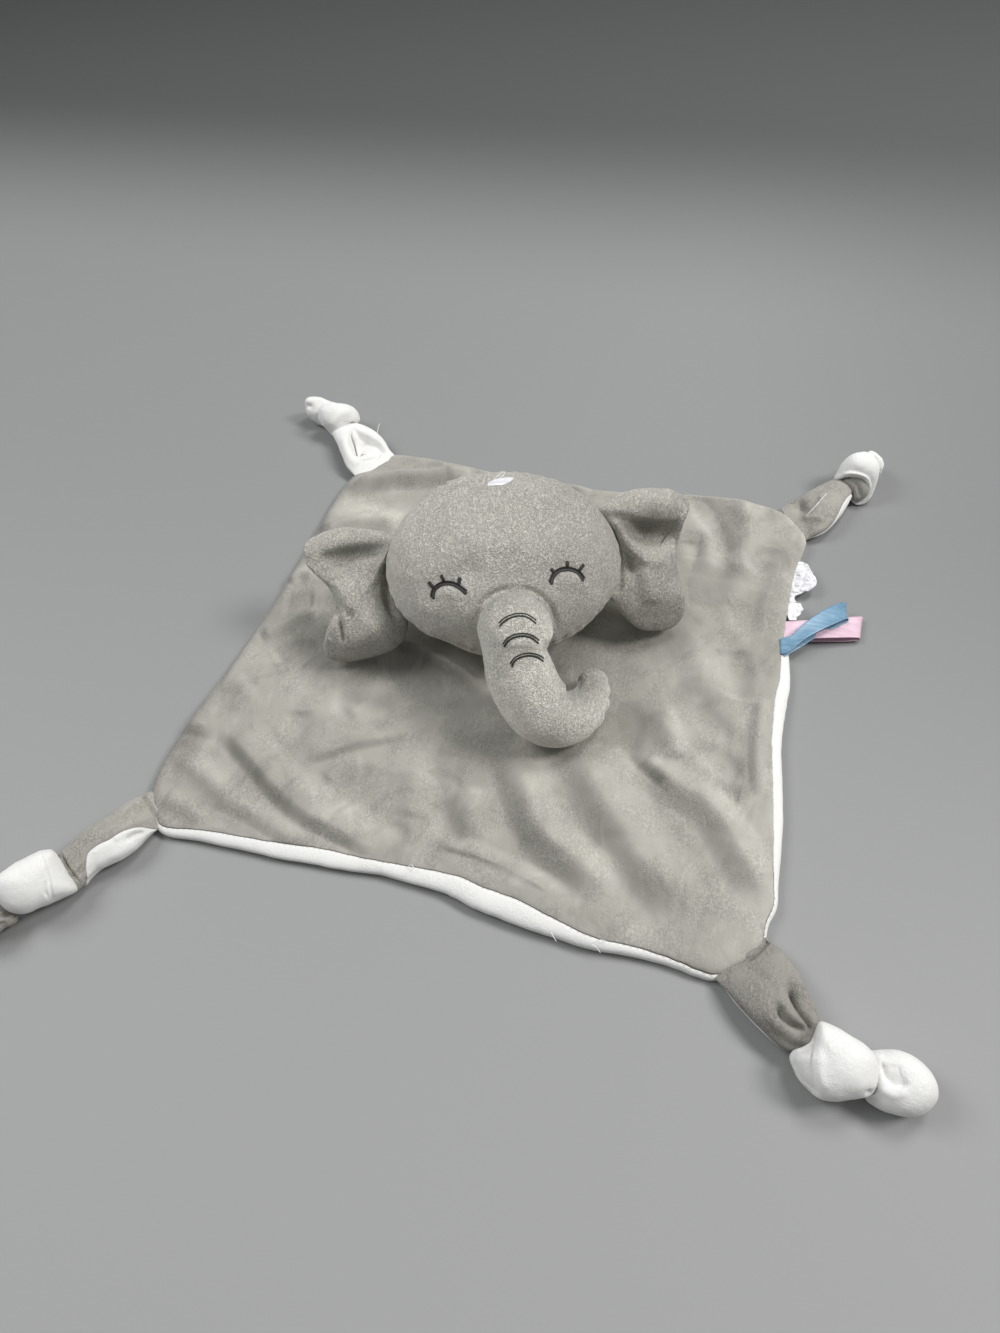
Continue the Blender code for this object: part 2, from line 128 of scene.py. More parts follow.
def spline(points, n, closed=False):
    """n points evenly spaced along a smooth curve through the given ones, any number of columns."""
    p = np.asarray(points, float)
    m = len(p)
    out = []
    spans = m if closed else m - 1
    t = np.linspace(0, 1, 17)[:-1, None]
    for i in range(spans):
        if closed:
            a, b, c, d = (p[(i + k) % m] for k in (-1, 0, 1, 2))
        else:
            a, b, c, d = (p[min(max(i + k, 0), m - 1)] for k in (-1, 0, 1, 2))
        out.append(0.5 * (2 * b + (c - a) * t + (2 * a - 5 * b + 4 * c - d) * t * t
                          + (3 * b - a - 3 * c + d) * t ** 3))
    out.append((p[0] if closed else p[-1])[None])
    out = np.concatenate(out)
    k = min(3, out.shape[1])
    s = np.concatenate([[0], np.cumsum(np.linalg.norm(np.diff(out[:, :k], axis=0), axis=1))])
    want = np.linspace(0, s[-1], n + 1)[:-1] if closed else np.linspace(0, s[-1], n)
    return np.stack([np.interp(want, s, out[:, j]) for j in range(out.shape[1])], 1)


def unit(v):
    return v / np.maximum(np.linalg.norm(v, axis=-1, keepdims=True), 1e-12)


def mesh_object(name, verts, faces, mat, body=None, smooth=True, outward=None):
    mesh = bpy.data.meshes.new(name)
    mesh.from_pydata(np.asarray(verts, float).tolist(), [], [list(map(int, f)) for f in faces])
    if outward is None:
        bm = bmesh.new()
        bm.from_mesh(mesh)
        bmesh.ops.recalc_face_normals(bm, faces=bm.faces)
        bm.to_mesh(mesh)
        bm.free()
    else:                                   # an open sheet: its faces look the way `outward` points
        co, no = arrays(mesh)
        if np.sum(no * np.broadcast_to(outward, co.shape)) < 0:
            mesh.flip_normals()
    if smooth:
        mesh.shade_smooth()
    o = bpy.data.objects.new(name, mesh)
    bpy.context.scene.collection.objects.link(o)
    o.data.materials.append(mat)
    if body:
        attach(o, body)
    return o


def arrays(mesh):
    mesh.update()
    co, no = np.zeros(len(mesh.vertices) * 3), np.zeros(len(mesh.vertices) * 3)
    mesh.vertices.foreach_get("co", co)
    mesh.vertices.foreach_get("normal", no)
    return co.reshape(-1, 3), no.reshape(-1, 3)


def picture(p):
    """Where the camera sees world points, in the 1000 x 1333 frame, and how deep they lie."""
    d = np.asarray(p) - EYE
    z = d @ FWD
    return np.stack([500 + F_PX * (d @ RIGHT) / z, 666.5 - F_PX * (d @ UP) / z], 1), z


def level(px, py, z):
    """The point of height z mm that the camera sees at a place of the frame."""
    return on_plane(px, py, np.array([0, 0, z * MM]), Z)


def line_distance(q, line):
    """Distance from a polyline, its sign positive to the right of travel as seen, and the share along it."""
    c = spline(line, max(12, 6 * len(line)))
    best, sign, at = np.full(len(q), 1e9), np.ones(len(q)), np.zeros(len(q))
    for k in range(len(c) - 1):
        d = c[k + 1] - c[k]
        t = np.clip(((q - c[k]) @ d) / (d @ d + 1e-12), 0, 1)
        off = q - c[k] - t[:, None] * d
        e = np.sum(off ** 2, 1)
        near = e < best
        best[near] = e[near]
        sign[near] = np.sign(d[0] * off[near, 1] - d[1] * off[near, 0])
        at[near] = (k + t[near]) / (len(c) - 1)
    return np.sqrt(best), sign, at


def carve(o, *strokes, edge=(0.02, 0.30)):
    """Presses strokes into (or out of) the side of a mesh that faces the camera, sizes in picture points, depth in mm.
    ("line", points, width, depth), ("step", points, width, depth, reach) right of the line, ("spot", (x, y), (rx, ry), depth[, turn])."""
    mesh = o.data
    co, no = arrays(mesh)
    q, _ = picture(co)
    facing = -np.sum(no * unit(co - EYE), 1)
    w = step(facing, *edge)
    disp = np.zeros(len(co))
    for st in strokes:
        if st[0] == "spot":
            d = q - np.array(st[1])
            if len(st) > 4:
                a = math.radians(st[4])
                d = np.stack([d[:, 0] * math.cos(a) + d[:, 1] * math.sin(a), -d[:, 0] * math.sin(a) + d[:, 1] * math.cos(a)], 1)
            disp += st[3] * np.exp(-(d[:, 0] / st[2][0]) ** 2 - (d[:, 1] / st[2][1]) ** 2)
            continue
        dist, sign, at = line_distance(q, st[1])
        fade = step(at, 0.0, 0.18) * (1 - step(at, 0.82, 1.0))
        if st[0] == "line":
            disp += st[3] * np.exp(-(dist / st[2]) ** 2) * (0.15 + 0.85 * fade)
        elif st[0] == "cut":
            disp += st[3] * np.exp(-(dist / st[2]) ** 2)
        else:
            sd = dist * sign
            reach = st[4] if len(st) > 4 else 8.0
            disp += st[3] * step(sd, -st[2] / 2, st[2] / 2) * np.exp(-np.clip(sd, 0, None) / reach) * (0.1 + 0.9 * fade)
    co = co + no * (disp * w * MM)[:, None]
    mesh.vertices.foreach_set("co", co.ravel())
    mesh.update()


def nudge(o, *moves):
    """Shifts parts of a mesh across the frame: ((x, y), (rx, ry), (dx, dy)) in picture points."""
    co, _ = arrays(o.data)
    q, z = picture(co)
    for at, r, move in moves:
        w = np.exp(-((q[:, 0] - at[0]) / r[0]) ** 2 - ((q[:, 1] - at[1]) / r[1]) ** 2) * z / F_PX
        co = co + (w * move[0])[:, None] * RIGHT - (w * move[1])[:, None] * UP
    o.data.vertices.foreach_set("co", co.ravel())
    o.data.update()


def blob(outline, centre, z_mid, front, back, power=2.0, n=150, m=34, floor_z=0.3):
    """A closed ball whose outline in the frame is the given one; it is flattened where it meets the floor."""
    mid = level(*centre, z_mid)
    nrm = -ray(*centre)
    rim = np.array([on_plane(x, y, mid, nrm) for x, y in spline(np.array(outline, float), n, closed=True)])
    t = np.sin(np.linspace(0, math.pi / 2, m + 1)[1:])
    pts = []
    for sgn, amt in ((1, front), (-1, back)):
        for k in range(m if sgn > 0 else m - 1):
            p = mid + (rim - mid) * t[k]
            out = unit(EYE - p)
            pts.append(p + out * (sgn * amt * MM * max(0.0, 1 - t[k] ** power) ** (1 / power)))
        pts.append(None)
    front_r, back_r = pts[:m], pts[m + 1:-1]
    v = np.concatenate(front_r + back_r + [(mid + nrm * front * MM)[None], (mid - nrm * back * MM)[None]])
    f = grid_faces(m, n, wrap=True).tolist()
    b0 = m * n
    f += grid_faces(m - 1, n, wrap=True, start=b0, flip=True).tolist()
    j = np.arange(n); k = (j + 1) % n
    f += np.stack([(m - 1) * n + j, b0 + (m - 2) * n + j, b0 + (m - 2) * n + k, (m - 1) * n + k], 1).tolist()
    c0 = b0 + (m - 1) * n
    f += [[c0, int(b), int(a)] for a, b in zip(j, k)] + [[c0 + 1, int(b0 + a), int(b0 + b)] for a, b in zip(j, k)]
    z = v[:, 2] / MM
    soft = 0.8
    v[:, 2] = MM * (floor_z + soft * np.log1p(np.exp(np.clip((z - floor_z) / soft, -30, 30))))
    return v, f


def strip(names, left, right, half, turn, mats, body, root_gather=0.5, end_gather=0.8, n=110, k=56, seed=0):
    """A flattened fabric tube of two plies between two outlines in the frame. `turn` rolls the plies round it (degrees)."""
    m = len(left)
    A = np.array([level(x, y, h + 0.4) for (x, y), h in zip(left, half)])
    B = np.array([level(x, y, h + 0.4) for (x, y), h in zip(right, half)])
    rows = spline(np.c_[(A + B) / 2, (B - A) / 2, np.array(half) * MM, np.radians(turn)], n)
    c, sd, h, tn = rows[:, :3], rows[:, 3:6], rows[:, 6], rows[:, 7]
    length = np.concatenate([[0], np.cumsum(np.linalg.norm(np.diff(c, axis=0), axis=1))]) / MM
    out = []
    for which, (name, mat) in enumerate(zip(names, mats)):
        a = np.linspace(0.0, math.pi, k) + which * math.pi
        P, O = [], []
        for i in range(n):
            phi = a + tn[i]
            ca, sa = np.cos(phi), np.sin(phi)
            x = np.sign(ca) * np.abs(ca) ** 0.85
            z = np.sign(sa) * np.abs(sa) ** 0.9
            seam = 1 - 0.05 * np.exp(-(np.minimum(a - which * math.pi, math.pi + which * math.pi - a) / 0.10) ** 2)
            g = (root_gather * math.exp(-length[i] / 7.0) + end_gather * math.exp(-(length[-1] - length[i]) / 8.0))
            ridge = g * np.sin(phi * 7 + 2.5 * noise(np.c_[phi * 1.5, phi * 0 + length[i] / 9, phi * 0], 1.0, 200 + seed))
            r = seam[:, None] * (x[:, None] * sd[i] + (z * h[i])[:, None] * Z)
            o = unit(r)
            P.append(c[i] + r + o * (ridge * MM)[:, None])
            O.append(o)
        P, O = np.concatenate(P), np.concatenate(O)
        P = P + O * (0.30 * fbm(P / MM, 9.0, 210 + seed, 2) * MM)[:, None]
        P[:, 2] = np.maximum(P[:, 2], 0.00025)
        piece = mesh_object(name, P, grid_faces(n, k), mat, outward=O)
        out.append(piece)
    return out, c


def grid_faces(rows, cols, wrap=False, start=0, flip=False):
    r, c = np.meshgrid(np.arange(rows - 1), np.arange(cols if wrap else cols - 1), indexing="ij")
    a = start + r * cols + c
    b = start + r * cols + (c + 1) % cols
    f = np.stack([a, b, b + cols, a + cols], -1).reshape(-1, 4)
    return f[:, ::-1] if flip else f


def frames(path, up):
    """Tangent, side and up along a path, `up` kept as close as it can be."""
    tan = unit(np.gradient(path, axis=0))
    up = np.broadcast_to(np.asarray(up, float), path.shape)
    side = unit(np.cross(tan, up))
    return tan, side, unit(np.cross(side, tan))


def sweep(path, up, profile):
    """Closed tube: profile(i) gives a loop of (side, up) offsets at station i."""
    tan, side, upv = frames(path, up)
    rings = []
    for i in range(len(path)):
        q = profile(i)
        rings.append(path[i] + q[:, :1] * side[i] + q[:, 1:2] * upv[i])
    k = len(rings[0])
    v = np.concatenate(rings + [rings[0].mean(0)[None], rings[-1].mean(0)[None]])
    f = [list(x) for x in grid_faces(len(path), k, wrap=True)]
    n = len(path) * k
    f += [[n, (j + 1) % k, j] for j in range(k)]
    f += [[n + 1, n - k + j, n - k + (j + 1) % k] for j in range(k)]
    return v, f


def remeshed(name, parts, voxel, mat, body=None, smoothing=3, bumpy=None):
    """Closed shapes fused into one skin by a voxel remesh, then smoothed."""
    vs, fs, n = [], [], 0
    for v, f in parts:
        vs.append(np.asarray(v))
        fs += [[int(x) + n for x in face] for face in f]
        n += len(v)
    o = mesh_object(name + "_raw", np.concatenate(vs), fs, mat)
    m = o.modifiers.new("fuse", "REMESH")
    m.mode, m.voxel_size, m.use_smooth_shade = "VOXEL", voxel, True
    s = o.modifiers.new("ease", "SMOOTH")
    s.factor, s.iterations = 0.5, smoothing
    bpy.context.view_layer.update()
    mesh = bpy.data.meshes.new_from_object(o.evaluated_get(bpy.context.evaluated_depsgraph_get()))
    bpy.data.objects.remove(o, do_unlink=True)
    if bumpy is not None:
        co = np.zeros(len(mesh.vertices) * 3); mesh.vertices.foreach_get("co", co); co = co.reshape(-1, 3)
        no = np.zeros(len(mesh.vertices) * 3); mesh.vertices.foreach_get("normal", no); no = no.reshape(-1, 3)
        co = co + no * bumpy(co, no)[:, None]
        mesh.vertices.foreach_set("co", co.ravel()); mesh.update()
    mesh.name = name
    mesh.shade_smooth()
    new = bpy.data.objects.new(name, mesh)
    bpy.context.scene.collection.objects.link(new)
    mesh.materials.clear(); mesh.materials.append(mat)
    if body:
        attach(new, body)
    return new


def ellipsoid(centre, axes, half, n=24):
    """Closed ball: axes rows are its three directions, half its half sizes."""
    bm = bmesh.new()
    bmesh.ops.create_icosphere(bm, subdivisions=4, radius=1.0)
    v = np.array([x.co for x in bm.verts])
    f = [[x.index for x in face.verts] for face in bm.faces]
    bm.free()
    return np.asarray(centre) + (v * np.asarray(half)) @ np.asarray(axes), f


def bvh_of(o):
    return BVHTree.FromPolygons([v.co for v in o.data.vertices], [p.vertices for p in o.data.polygons])


def cast(tree, px, py):
    hit = tree.ray_cast(Vector(EYE), Vector(ray(px, py)))
    return (np.array(hit[0]), np.array(hit[1])) if hit[0] else None


# ================================================================ materials
class Nodes:
    def __init__(self, name):
        self.mat = bpy.data.materials.new(name)
        self.mat.use_nodes = True
        self.nt = self.mat.node_tree
        self.nt.nodes.clear()
        self.out = self.add("ShaderNodeOutputMaterial")
        self.bsdf = self.add("ShaderNodeBsdfPrincipled")
        self.nt.links.new(self.bsdf.outputs[0], self.out.inputs[0])
        self.coord = self.add("ShaderNodeTexCoord").outputs["Object"]

    def add(self, kind, **props):
        n = self.nt.nodes.new(kind)
        for k, v in props.items():
            setattr(n, k, v)
        return n

    def link(self, a, b):
        self.nt.links.new(a, b)

    def set(self, **values):
        for k, v in values.items():
            self.bsdf.inputs[k.replace("_", " ")].default_value = v

    def noise(self, scale, detail=2.0, rough=0.5, distort=0.0, stretch=None, turn=(0, 0, 0), vector=None):
        v = vector or self.coord
        if stretch or any(turn):
            m = self.add("ShaderNodeMapping")
            m.inputs["Scale"].default_value = stretch or (1, 1, 1)
            m.inputs["Rotation"].default_value = turn
            self.link(v, m.inputs["Vector"])
            v = m.outputs[0]
        n = self.add("ShaderNodeTexNoise")
        for k, x in (("Scale", scale), ("Detail", detail), ("Roughness", rough), ("Distortion", distort)):
            n.inputs[k].default_value = x
        self.link(v, n.inputs["Vector"])
        return n.outputs["Fac"]

    def math(self, op, a, b=0.0, c=None, clamp=False):
        n = self.add("ShaderNodeMath", operation=op, use_clamp=clamp)
        for k, x in enumerate((a, b) if c is None else (a, b, c)):
            if isinstance(x, (int, float)):
                n.inputs[k].default_value = x
            else:
                self.link(x, n.inputs[k])
        return n.outputs[0]

    def spread(self, value, low, high, to_low=0.0, to_high=1.0):
        n = self.add("ShaderNodeMapRange", interpolation_type="SMOOTHSTEP")
        self.link(value, n.inputs["Value"])
        for k, x in (("From Min", low), ("From Max", high), ("To Min", to_low), ("To Max", to_high)):
            n.inputs[k].default_value = x
        return n.outputs["Result"]

    def mix(self, fac, a, b, blend="MIX"):
        n = self.add("ShaderNodeMix", data_type="RGBA", blend_type=blend, clamp_factor=True)
        for sock, x in ((n.inputs[0], fac), (n.inputs[6], a), (n.inputs[7], b)):
            if isinstance(x, (int, float)):
                sock.default_value = x
            elif isinstance(x, tuple):
                sock.default_value = (*x, 1.0)
            else:
                self.link(x, sock)
        return n.outputs[2]

    def bump(self, height, distance, strength=1.0, normal=None):
        n = self.add("ShaderNodeBump")
        n.inputs["Distance"].default_value = distance
        n.inputs["Strength"].default_value = strength
        self.link(height, n.inputs["Height"])
        if normal:
            self.link(normal, n.inputs["Normal"])
        return n.outputs[0]


def velour(name, dark, mid, light, patch=30.0, cloud=0.8, grain=0.5, bump=0.9, sheen=0.35, seed=0.0, flat=0.35,
           brush=(1.0, 0.42, 0.8), painted_facing_shade=None, light_shade_patches=()):
    """Short-pile velour: clouds where the pile lies another way, and a fine combed pile that stands up in places;
    optionally painted shade by which way the surface faces, and soft patches of painted light and shade.
    """
    s = Nodes(name)
    off = s.add("ShaderNodeVectorMath", operation="ADD")
    off.inputs[1].default_value = (seed, seed * 0.7, -seed)
    s.link(s.coord, off.inputs[0])
    vec = off.outputs[0]
    clouds = s.noise(patch, 3.0, 0.55, 1.1, vector=vec)
    streak = s.noise(patch * 2.6, 4.0, 0.62, 1.2, stretch=(1.0, 0.5, 1.0), turn=(0, 0, 0.7), vector=vec)
    pile = s.noise(1500.0, 1.0, 0.5, 1.4, stretch=brush, turn=(0.3, 0.2, 0.6), vector=vec)
    pile2 = s.noise(2000.0, 0.0, 0.5, 0.8, stretch=(brush[1], 1.0, 0.8), turn=(0.1, 0.4, -0.3), vector=vec)
    stand = s.spread(s.noise(patch * 2.0 + 20, 2.0, 0.5, 0.5, vector=vec), 0.36, 0.62, flat, 1.0)
    wide = s.spread(clouds, 0.34, 0.66)
    narrow = s.spread(streak, 0.34, 0.66)
    tone = s.math("ADD", s.math("MULTIPLY", wide, 0.6), s.math("MULTIPLY", narrow, 0.4))
    tone = s.math("ADD", 0.5, s.math("MULTIPLY", s.math("SUBTRACT", tone, 0.5), cloud))
    base = s.mix(s.spread(tone, 0.0, 0.5), dark, mid)
    base = s.mix(s.spread(tone, 0.5, 1.0), base, light)
    hair = s.math("ADD", s.math("MULTIPLY", s.spread(pile, 0.34, 0.66), 0.72), s.math("MULTIPLY", s.spread(pile2, 0.34, 0.66), 0.28))
    shade = s.math("ADD", 1.0, s.math("MULTIPLY", s.math("SUBTRACT", hair, 0.52), s.math("MULTIPLY", stand, grain)))
    if painted_facing_shade:                                 # painted shade: the tone is raised or lowered by which way the surface faces, standing in for how the lamps fall on its slopes
        facing_dot = s.add("ShaderNodeVectorMath", operation="DOT_PRODUCT")
        s.link(s.add("ShaderNodeTexCoord").outputs["Normal"], facing_dot.inputs[0])
        facing_dot.inputs[1].default_value = painted_facing_shade
        shade = s.math("MULTIPLY", shade, s.math("ADD", 1.0, facing_dot.outputs["Value"]))
    if light_shade_patches:
        xyz = s.add("ShaderNodeSeparateXYZ")
        s.link(s.coord, xyz.inputs[0])
    for (x, y), (rx, ry), gain in light_shade_patches:       # soft patches of painted light and shade round given points: the tone is raised or lowered there
        dx = s.math("MULTIPLY", s.math("SUBTRACT", xyz.outputs["X"], float(x)), 1 / rx)
        dy = s.math("MULTIPLY", s.math("SUBTRACT", xyz.outputs["Y"], float(y)), 1 / ry)
        far = s.math("ADD", s.math("ADD", s.math("MULTIPLY", dx, dx), s.math("MULTIPLY", dy, dy)), s.math("MULTIPLY", s.math("SUBTRACT", tone, 0.5), 1.2))
        mark = s.math("MULTIPLY", s.math("POWER", 2.718, s.math("MULTIPLY", s.math("MAXIMUM", far, 0.0), -1.0)), gain)
        shade = s.math("MULTIPLY", shade, s.math("ADD", 1.0, mark))
    grey = s.add("ShaderNodeCombineColor")
    for k in range(3):
        s.link(shade, grey.inputs[k])
    s.link(s.mix(1.0, base, grey.outputs[0], "MULTIPLY"), s.bsdf.inputs["Base Color"])
    height = s.math("ADD", s.math("MULTIPLY", hair, stand), s.math("MULTIPLY", narrow, 0.5))
    s.link(s.bump(height, 0.0003, bump), s.bsdf.inputs["Normal"])
    s.set(Roughness=0.95, Sheen_Weight=sheen, Sheen_Roughness=0.35, Specular_IOR_Level=0.12)
    s.bsdf.inputs["Sheen Tint"].default_value = (*[min(1.0, 0.35 + x) for x in light], 1.0)
    return s.mat


# the blanket: painted shade by facing on its folds, and patches of painted light and shade, several of them lifting the
# tone inside the shadows cast by the head and the ears
M_BLANKET = velour("grey_velour_blanket", (0.274, 0.264, 0.237), (0.358, 0.346, 0.312), (0.440, 0.426, 0.386), 22.0, 0.82, 0.36, 0.6, 0.30, 0.0, 0.12,
                   painted_facing_shade=(0.39, 0.34, 0.0),
                   light_shade_patches=[(level(px, py, 6.0)[:2], size, gain) for px, py, size, gain in (
                       (368, 512, (0.018, 0.010), 0.55), (480, 800, (0.014, 0.022), -0.15), (205, 760, (0.030, 0.022), -0.14),
                       (600, 868, (0.009, 0.016), 0.15), (250, 635, (0.022, 0.022), 0.16), (420, 800, (0.010, 0.016), 0.10),
                       (500, 876, (0.014, 0.009), -0.12), (598, 622, (0.015, 0.010), 0.35), (386, 690, (0.013, 0.008), 0.18), (345, 705, (0.024, 0.012), 0.12))])
# the head, the ears and the strips also take painted shade by which way their surfaces face
M_HEAD = velour("grey_velour_head", (0.474, 0.457, 0.412), (0.551, 0.533, 0.481), (0.627, 0.607, 0.549), 30.0, 0.5, 0.68, 1.25, 0.60, 3.1, 0.8,
                painted_facing_shade=(-0.17, -0.12, -0.17))
# the trunk: a lighter copy of the head's velour, painted light so it reads as brightly lit; also painted shade by
# facing, a patch of painted light on its middle and one of painted shade low down
M_TRUNK = velour("grey_velour_trunk", (0.570, 0.552, 0.493), (0.660, 0.641, 0.575), (0.744, 0.724, 0.652), 30.0, 0.45, 0.68, 1.25, 0.60, 4.4, 0.8,
                 painted_facing_shade=(0.14, -0.35, -0.32),
                 light_shade_patches=[(level(px, py, z)[:2], size, gain) for px, py, z, size, gain in (
                     (513, 692, 39.0, (0.013, 0.010), 0.16), (556, 727, 25.0, (0.014, 0.008), -0.16))])
M_EAR = velour("grey_velour_ear", (0.385, 0.371, 0.331), (0.452, 0.437, 0.393), (0.518, 0.502, 0.453), 36.0, 0.5, 0.68, 1.25, 0.50, 6.7, 0.8,
               painted_facing_shade=(-0.26, 0.04, 0.0))
M_STRIP = velour("grey_velour_strip", (0.300, 0.289, 0.259), (0.362, 0.349, 0.315), (0.425, 0.411, 0.374), 34.0, 0.5, 0.45, 0.9, 0.28, 5.3, 0.2,
                 painted_facing_shade=(0.05, 0.10, 0.0))
# a darker copy of the strip velour, for the front right strip's upper ply
M_STRIP_DARK = velour("grey_velour_strip_darker", (0.232, 0.223, 0.200), (0.285, 0.275, 0.248), (0.345, 0.333, 0.303), 34.0, 0.6, 0.45, 0.9, 0.28, 5.9, 0.3,
                      painted_facing_shade=(0.05, 0.10, 0.0))
M_WHITE = velour("white_velour", (0.765, 0.760, 0.741), (0.808, 0.803, 0.785), (0.842, 0.837, 0.820), 40.0, 0.5, 0.07, 0.4, 0.15, 1.7, 0.2)


def thread(name, colour, rough=0.45):
    s = Nodes(name)
    n = s.noise(1800.0, 2.0, 0.5, 0.0)
    lit = tuple(min(1.0, c * 1.6 + 0.012) for c in colour)
    s.link(s.mix(s.spread(n, 0.3, 0.7), colour, lit), s.bsdf.inputs["Base Color"])
    s.link(s.bump(s.noise(3200.0, 1.0), 0.0001, 0.6), s.bsdf.inputs["Normal"])
    s.set(Roughness=rough, Sheen_Weight=0.15, Sheen_Roughness=0.4)
    return s.mat


M_CHARCOAL = thread("charcoal_thread", (0.013, 0.012, 0.011), 0.5)
M_PALE = thread("pale_thread", (0.50, 0.49, 0.46), 0.6)
M_LINT = thread("white_thread", (0.80, 0.80, 0.80), 0.6)


def satin(name, colour, edge, rough=0.32, crumple=0.0):
    s = Nodes(name)
    warp = s.noise(900.0, 1.0, 0.4, 0.0, stretch=(0.06, 1.0, 1.0))
    weft = s.noise(1500.0, 1.0, 0.4, 0.0, stretch=(1.0, 0.12, 1.0))
    soft = s.noise(70.0, 2.0, 0.5, 0.4)
    tone = s.math("ADD", s.math("MULTIPLY", warp, 0.6), s.math("MULTIPLY", soft, 0.6))
    s.link(s.mix(s.spread(tone, 0.35, 0.85), colour, edge), s.bsdf.inputs["Base Color"])
    h = s.math("ADD", s.math("MULTIPLY", warp, 0.5), s.math("MULTIPLY", weft, 0.4))
    if crumple:
        h = s.math("ADD", h, s.math("MULTIPLY", s.noise(520.0, 2.0, 0.6, 1.2), crumple))
    s.link(s.bump(h, 0.0003, 0.55), s.bsdf.inputs["Normal"])
    s.set(Roughness=rough, Sheen_Weight=0.1, Sheen_Roughness=0.4, Specular_IOR_Level=0.6)
    return s.mat


M_PINK = satin("pink_satin", (0.62, 0.40, 0.50), (0.77, 0.585, 0.68), 0.38)
M_BLUE = satin("blue_satin", (0.115, 0.235, 0.36), (0.215, 0.37, 0.505), 0.36)
M_LABEL = satin("white_satin", (0.62, 0.62, 0.66), (0.95, 0.95, 0.97), 0.2, 3.0)

# ================================================================ blanket
def trace(points):
    """(x, y in the frame, height mm) -> blanket mm."""
    return [tuple(level(x, y, z)[:2] / MM) for x, y, z in points]


FRONT = [(-121.5, -121.2), (-118.0, -124.6)] + trace([
    (163, 826.5, 4.4), (172, 828.0, 4.8), (200, 830, 5.2), (240, 836, 5.4), (280, 843, 5.6), (320, 848, 5.6),
    (360, 857, 5.4), (400, 864.5, 5.6), (440, 872, 6.2), (462, 877.5, 6.8), (480, 886, 7.4), (500, 893, 7.6),
    (520, 901, 7.4), (540, 911.5, 7.0), (560, 921.5, 6.6), (580, 932, 6.2), (600, 939.5, 5.6), (620, 943.5, 5.2),
    (640, 948.5, 4.8), (660, 955, 4.6), (680, 962.5, 4.4), (698, 970.5, 4.2)]) + [(105.8, -126.9), (113.5, -120.8)]
RIGHT_E = [(113.5, -120.8), (119.4, -113.6), (120.6, -104)] + trace([
    (773, 905, 4.2), (773, 880, 4.4), (773, 860, 4.6), (772.8, 820, 5.2), (772, 780, 5.4), (771.5, 740, 5.2),
    (774.5, 700, 5.0), (779, 680, 4.8), (781, 655, 4.6)]) + [
    (117.5, 27), (118.5, 50), (120, 72), (123.2, 88), (124.4, 99), (120, 109.6)]
BACK_E = [(-116, 110), (-110.5, 118.4), (-103, 120.6), (-80, 120.4), (-41, 116.5), (0, 114.5), (30, 116.6),
          (55, 120.6), (80, 122.8), (101, 121.6), (113, 117.2), (120, 109.6)]
LEFT_E = [(-121.5, -121.2), (-127.6, -114.6), (-131, -104), (-131.5, -85), (-129, -60), (-126.5, -30),
          (-125, 0), (-125, 40), (-125.5, 75), (-124.2, 92), (-121.6, 101), (-116, 110)]
N = 300


def edge_curve(points, s):
    q = spline(points, 800)
    t = np.linspace(0, 1, 800)
    return np.stack([np.interp(s, t, q[:, k]) for k in range(2)], 1)


def coons(curves, s):
    f, r, b, l = (edge_curve(c, s) if isinstance(c, list) else c for c in curves)
    u, v = s[None, :, None], s[:, None, None]
    return ((1 - v) * f[None] + v * b[None] + (1 - u) * l[:, None] + u * r[:, None]
            - ((1 - u) * (1 - v) * f[0] + u * (1 - v) * f[-1] + (1 - u) * v * b[0] + u * v * b[-1]))


_t = np.linspace(-1, 1, N + 1)
S = ((0.45 * _t + 0.55 * np.sin(math.pi * _t / 2)) + 1) / 2
GRID = coons((FRONT, RIGHT_E, BACK_E, LEFT_E), S)          # (rows, cols, 2) in mm
idx = np.arange((N + 1) ** 2).reshape(N + 1, N + 1)
RIM = np.concatenate([idx[0, :-1], idx[:-1, -1], idx[-1, :0:-1], idx[:0:-1, 0]])
rim_xy = GRID.reshape(-1, 2)[RIM]
tan = unit(np.roll(rim_xy, -2, 0) - np.roll(rim_xy, 2, 0))
for _ in range(6):
    tan = unit(np.roll(tan, 1, 0) + tan * 2 + np.roll(tan, -1, 0))
OUT = np.stack([tan[:, 1], -tan[:, 0]], 1)

n4 = N
side_of = np.repeat([0, 1, 2, 3], n4)


def along_rim(front, right, back, left, rounds=26):
    """A value round the edge: each side gives (where, value) pairs, along x or y."""
    v = np.zeros(len(RIM))
    for k, pairs in enumerate((front, right, back, left)):
        at = rim_xy[side_of == k][:, 0 if k in (0, 2) else 1]
        x, y = zip(*pairs)
        v[side_of == k] = np.interp(at, x, y)
    for _ in range(rounds):
        v = (np.roll(v, 1) + 2 * v + np.roll(v, -1)) / 4
    return v


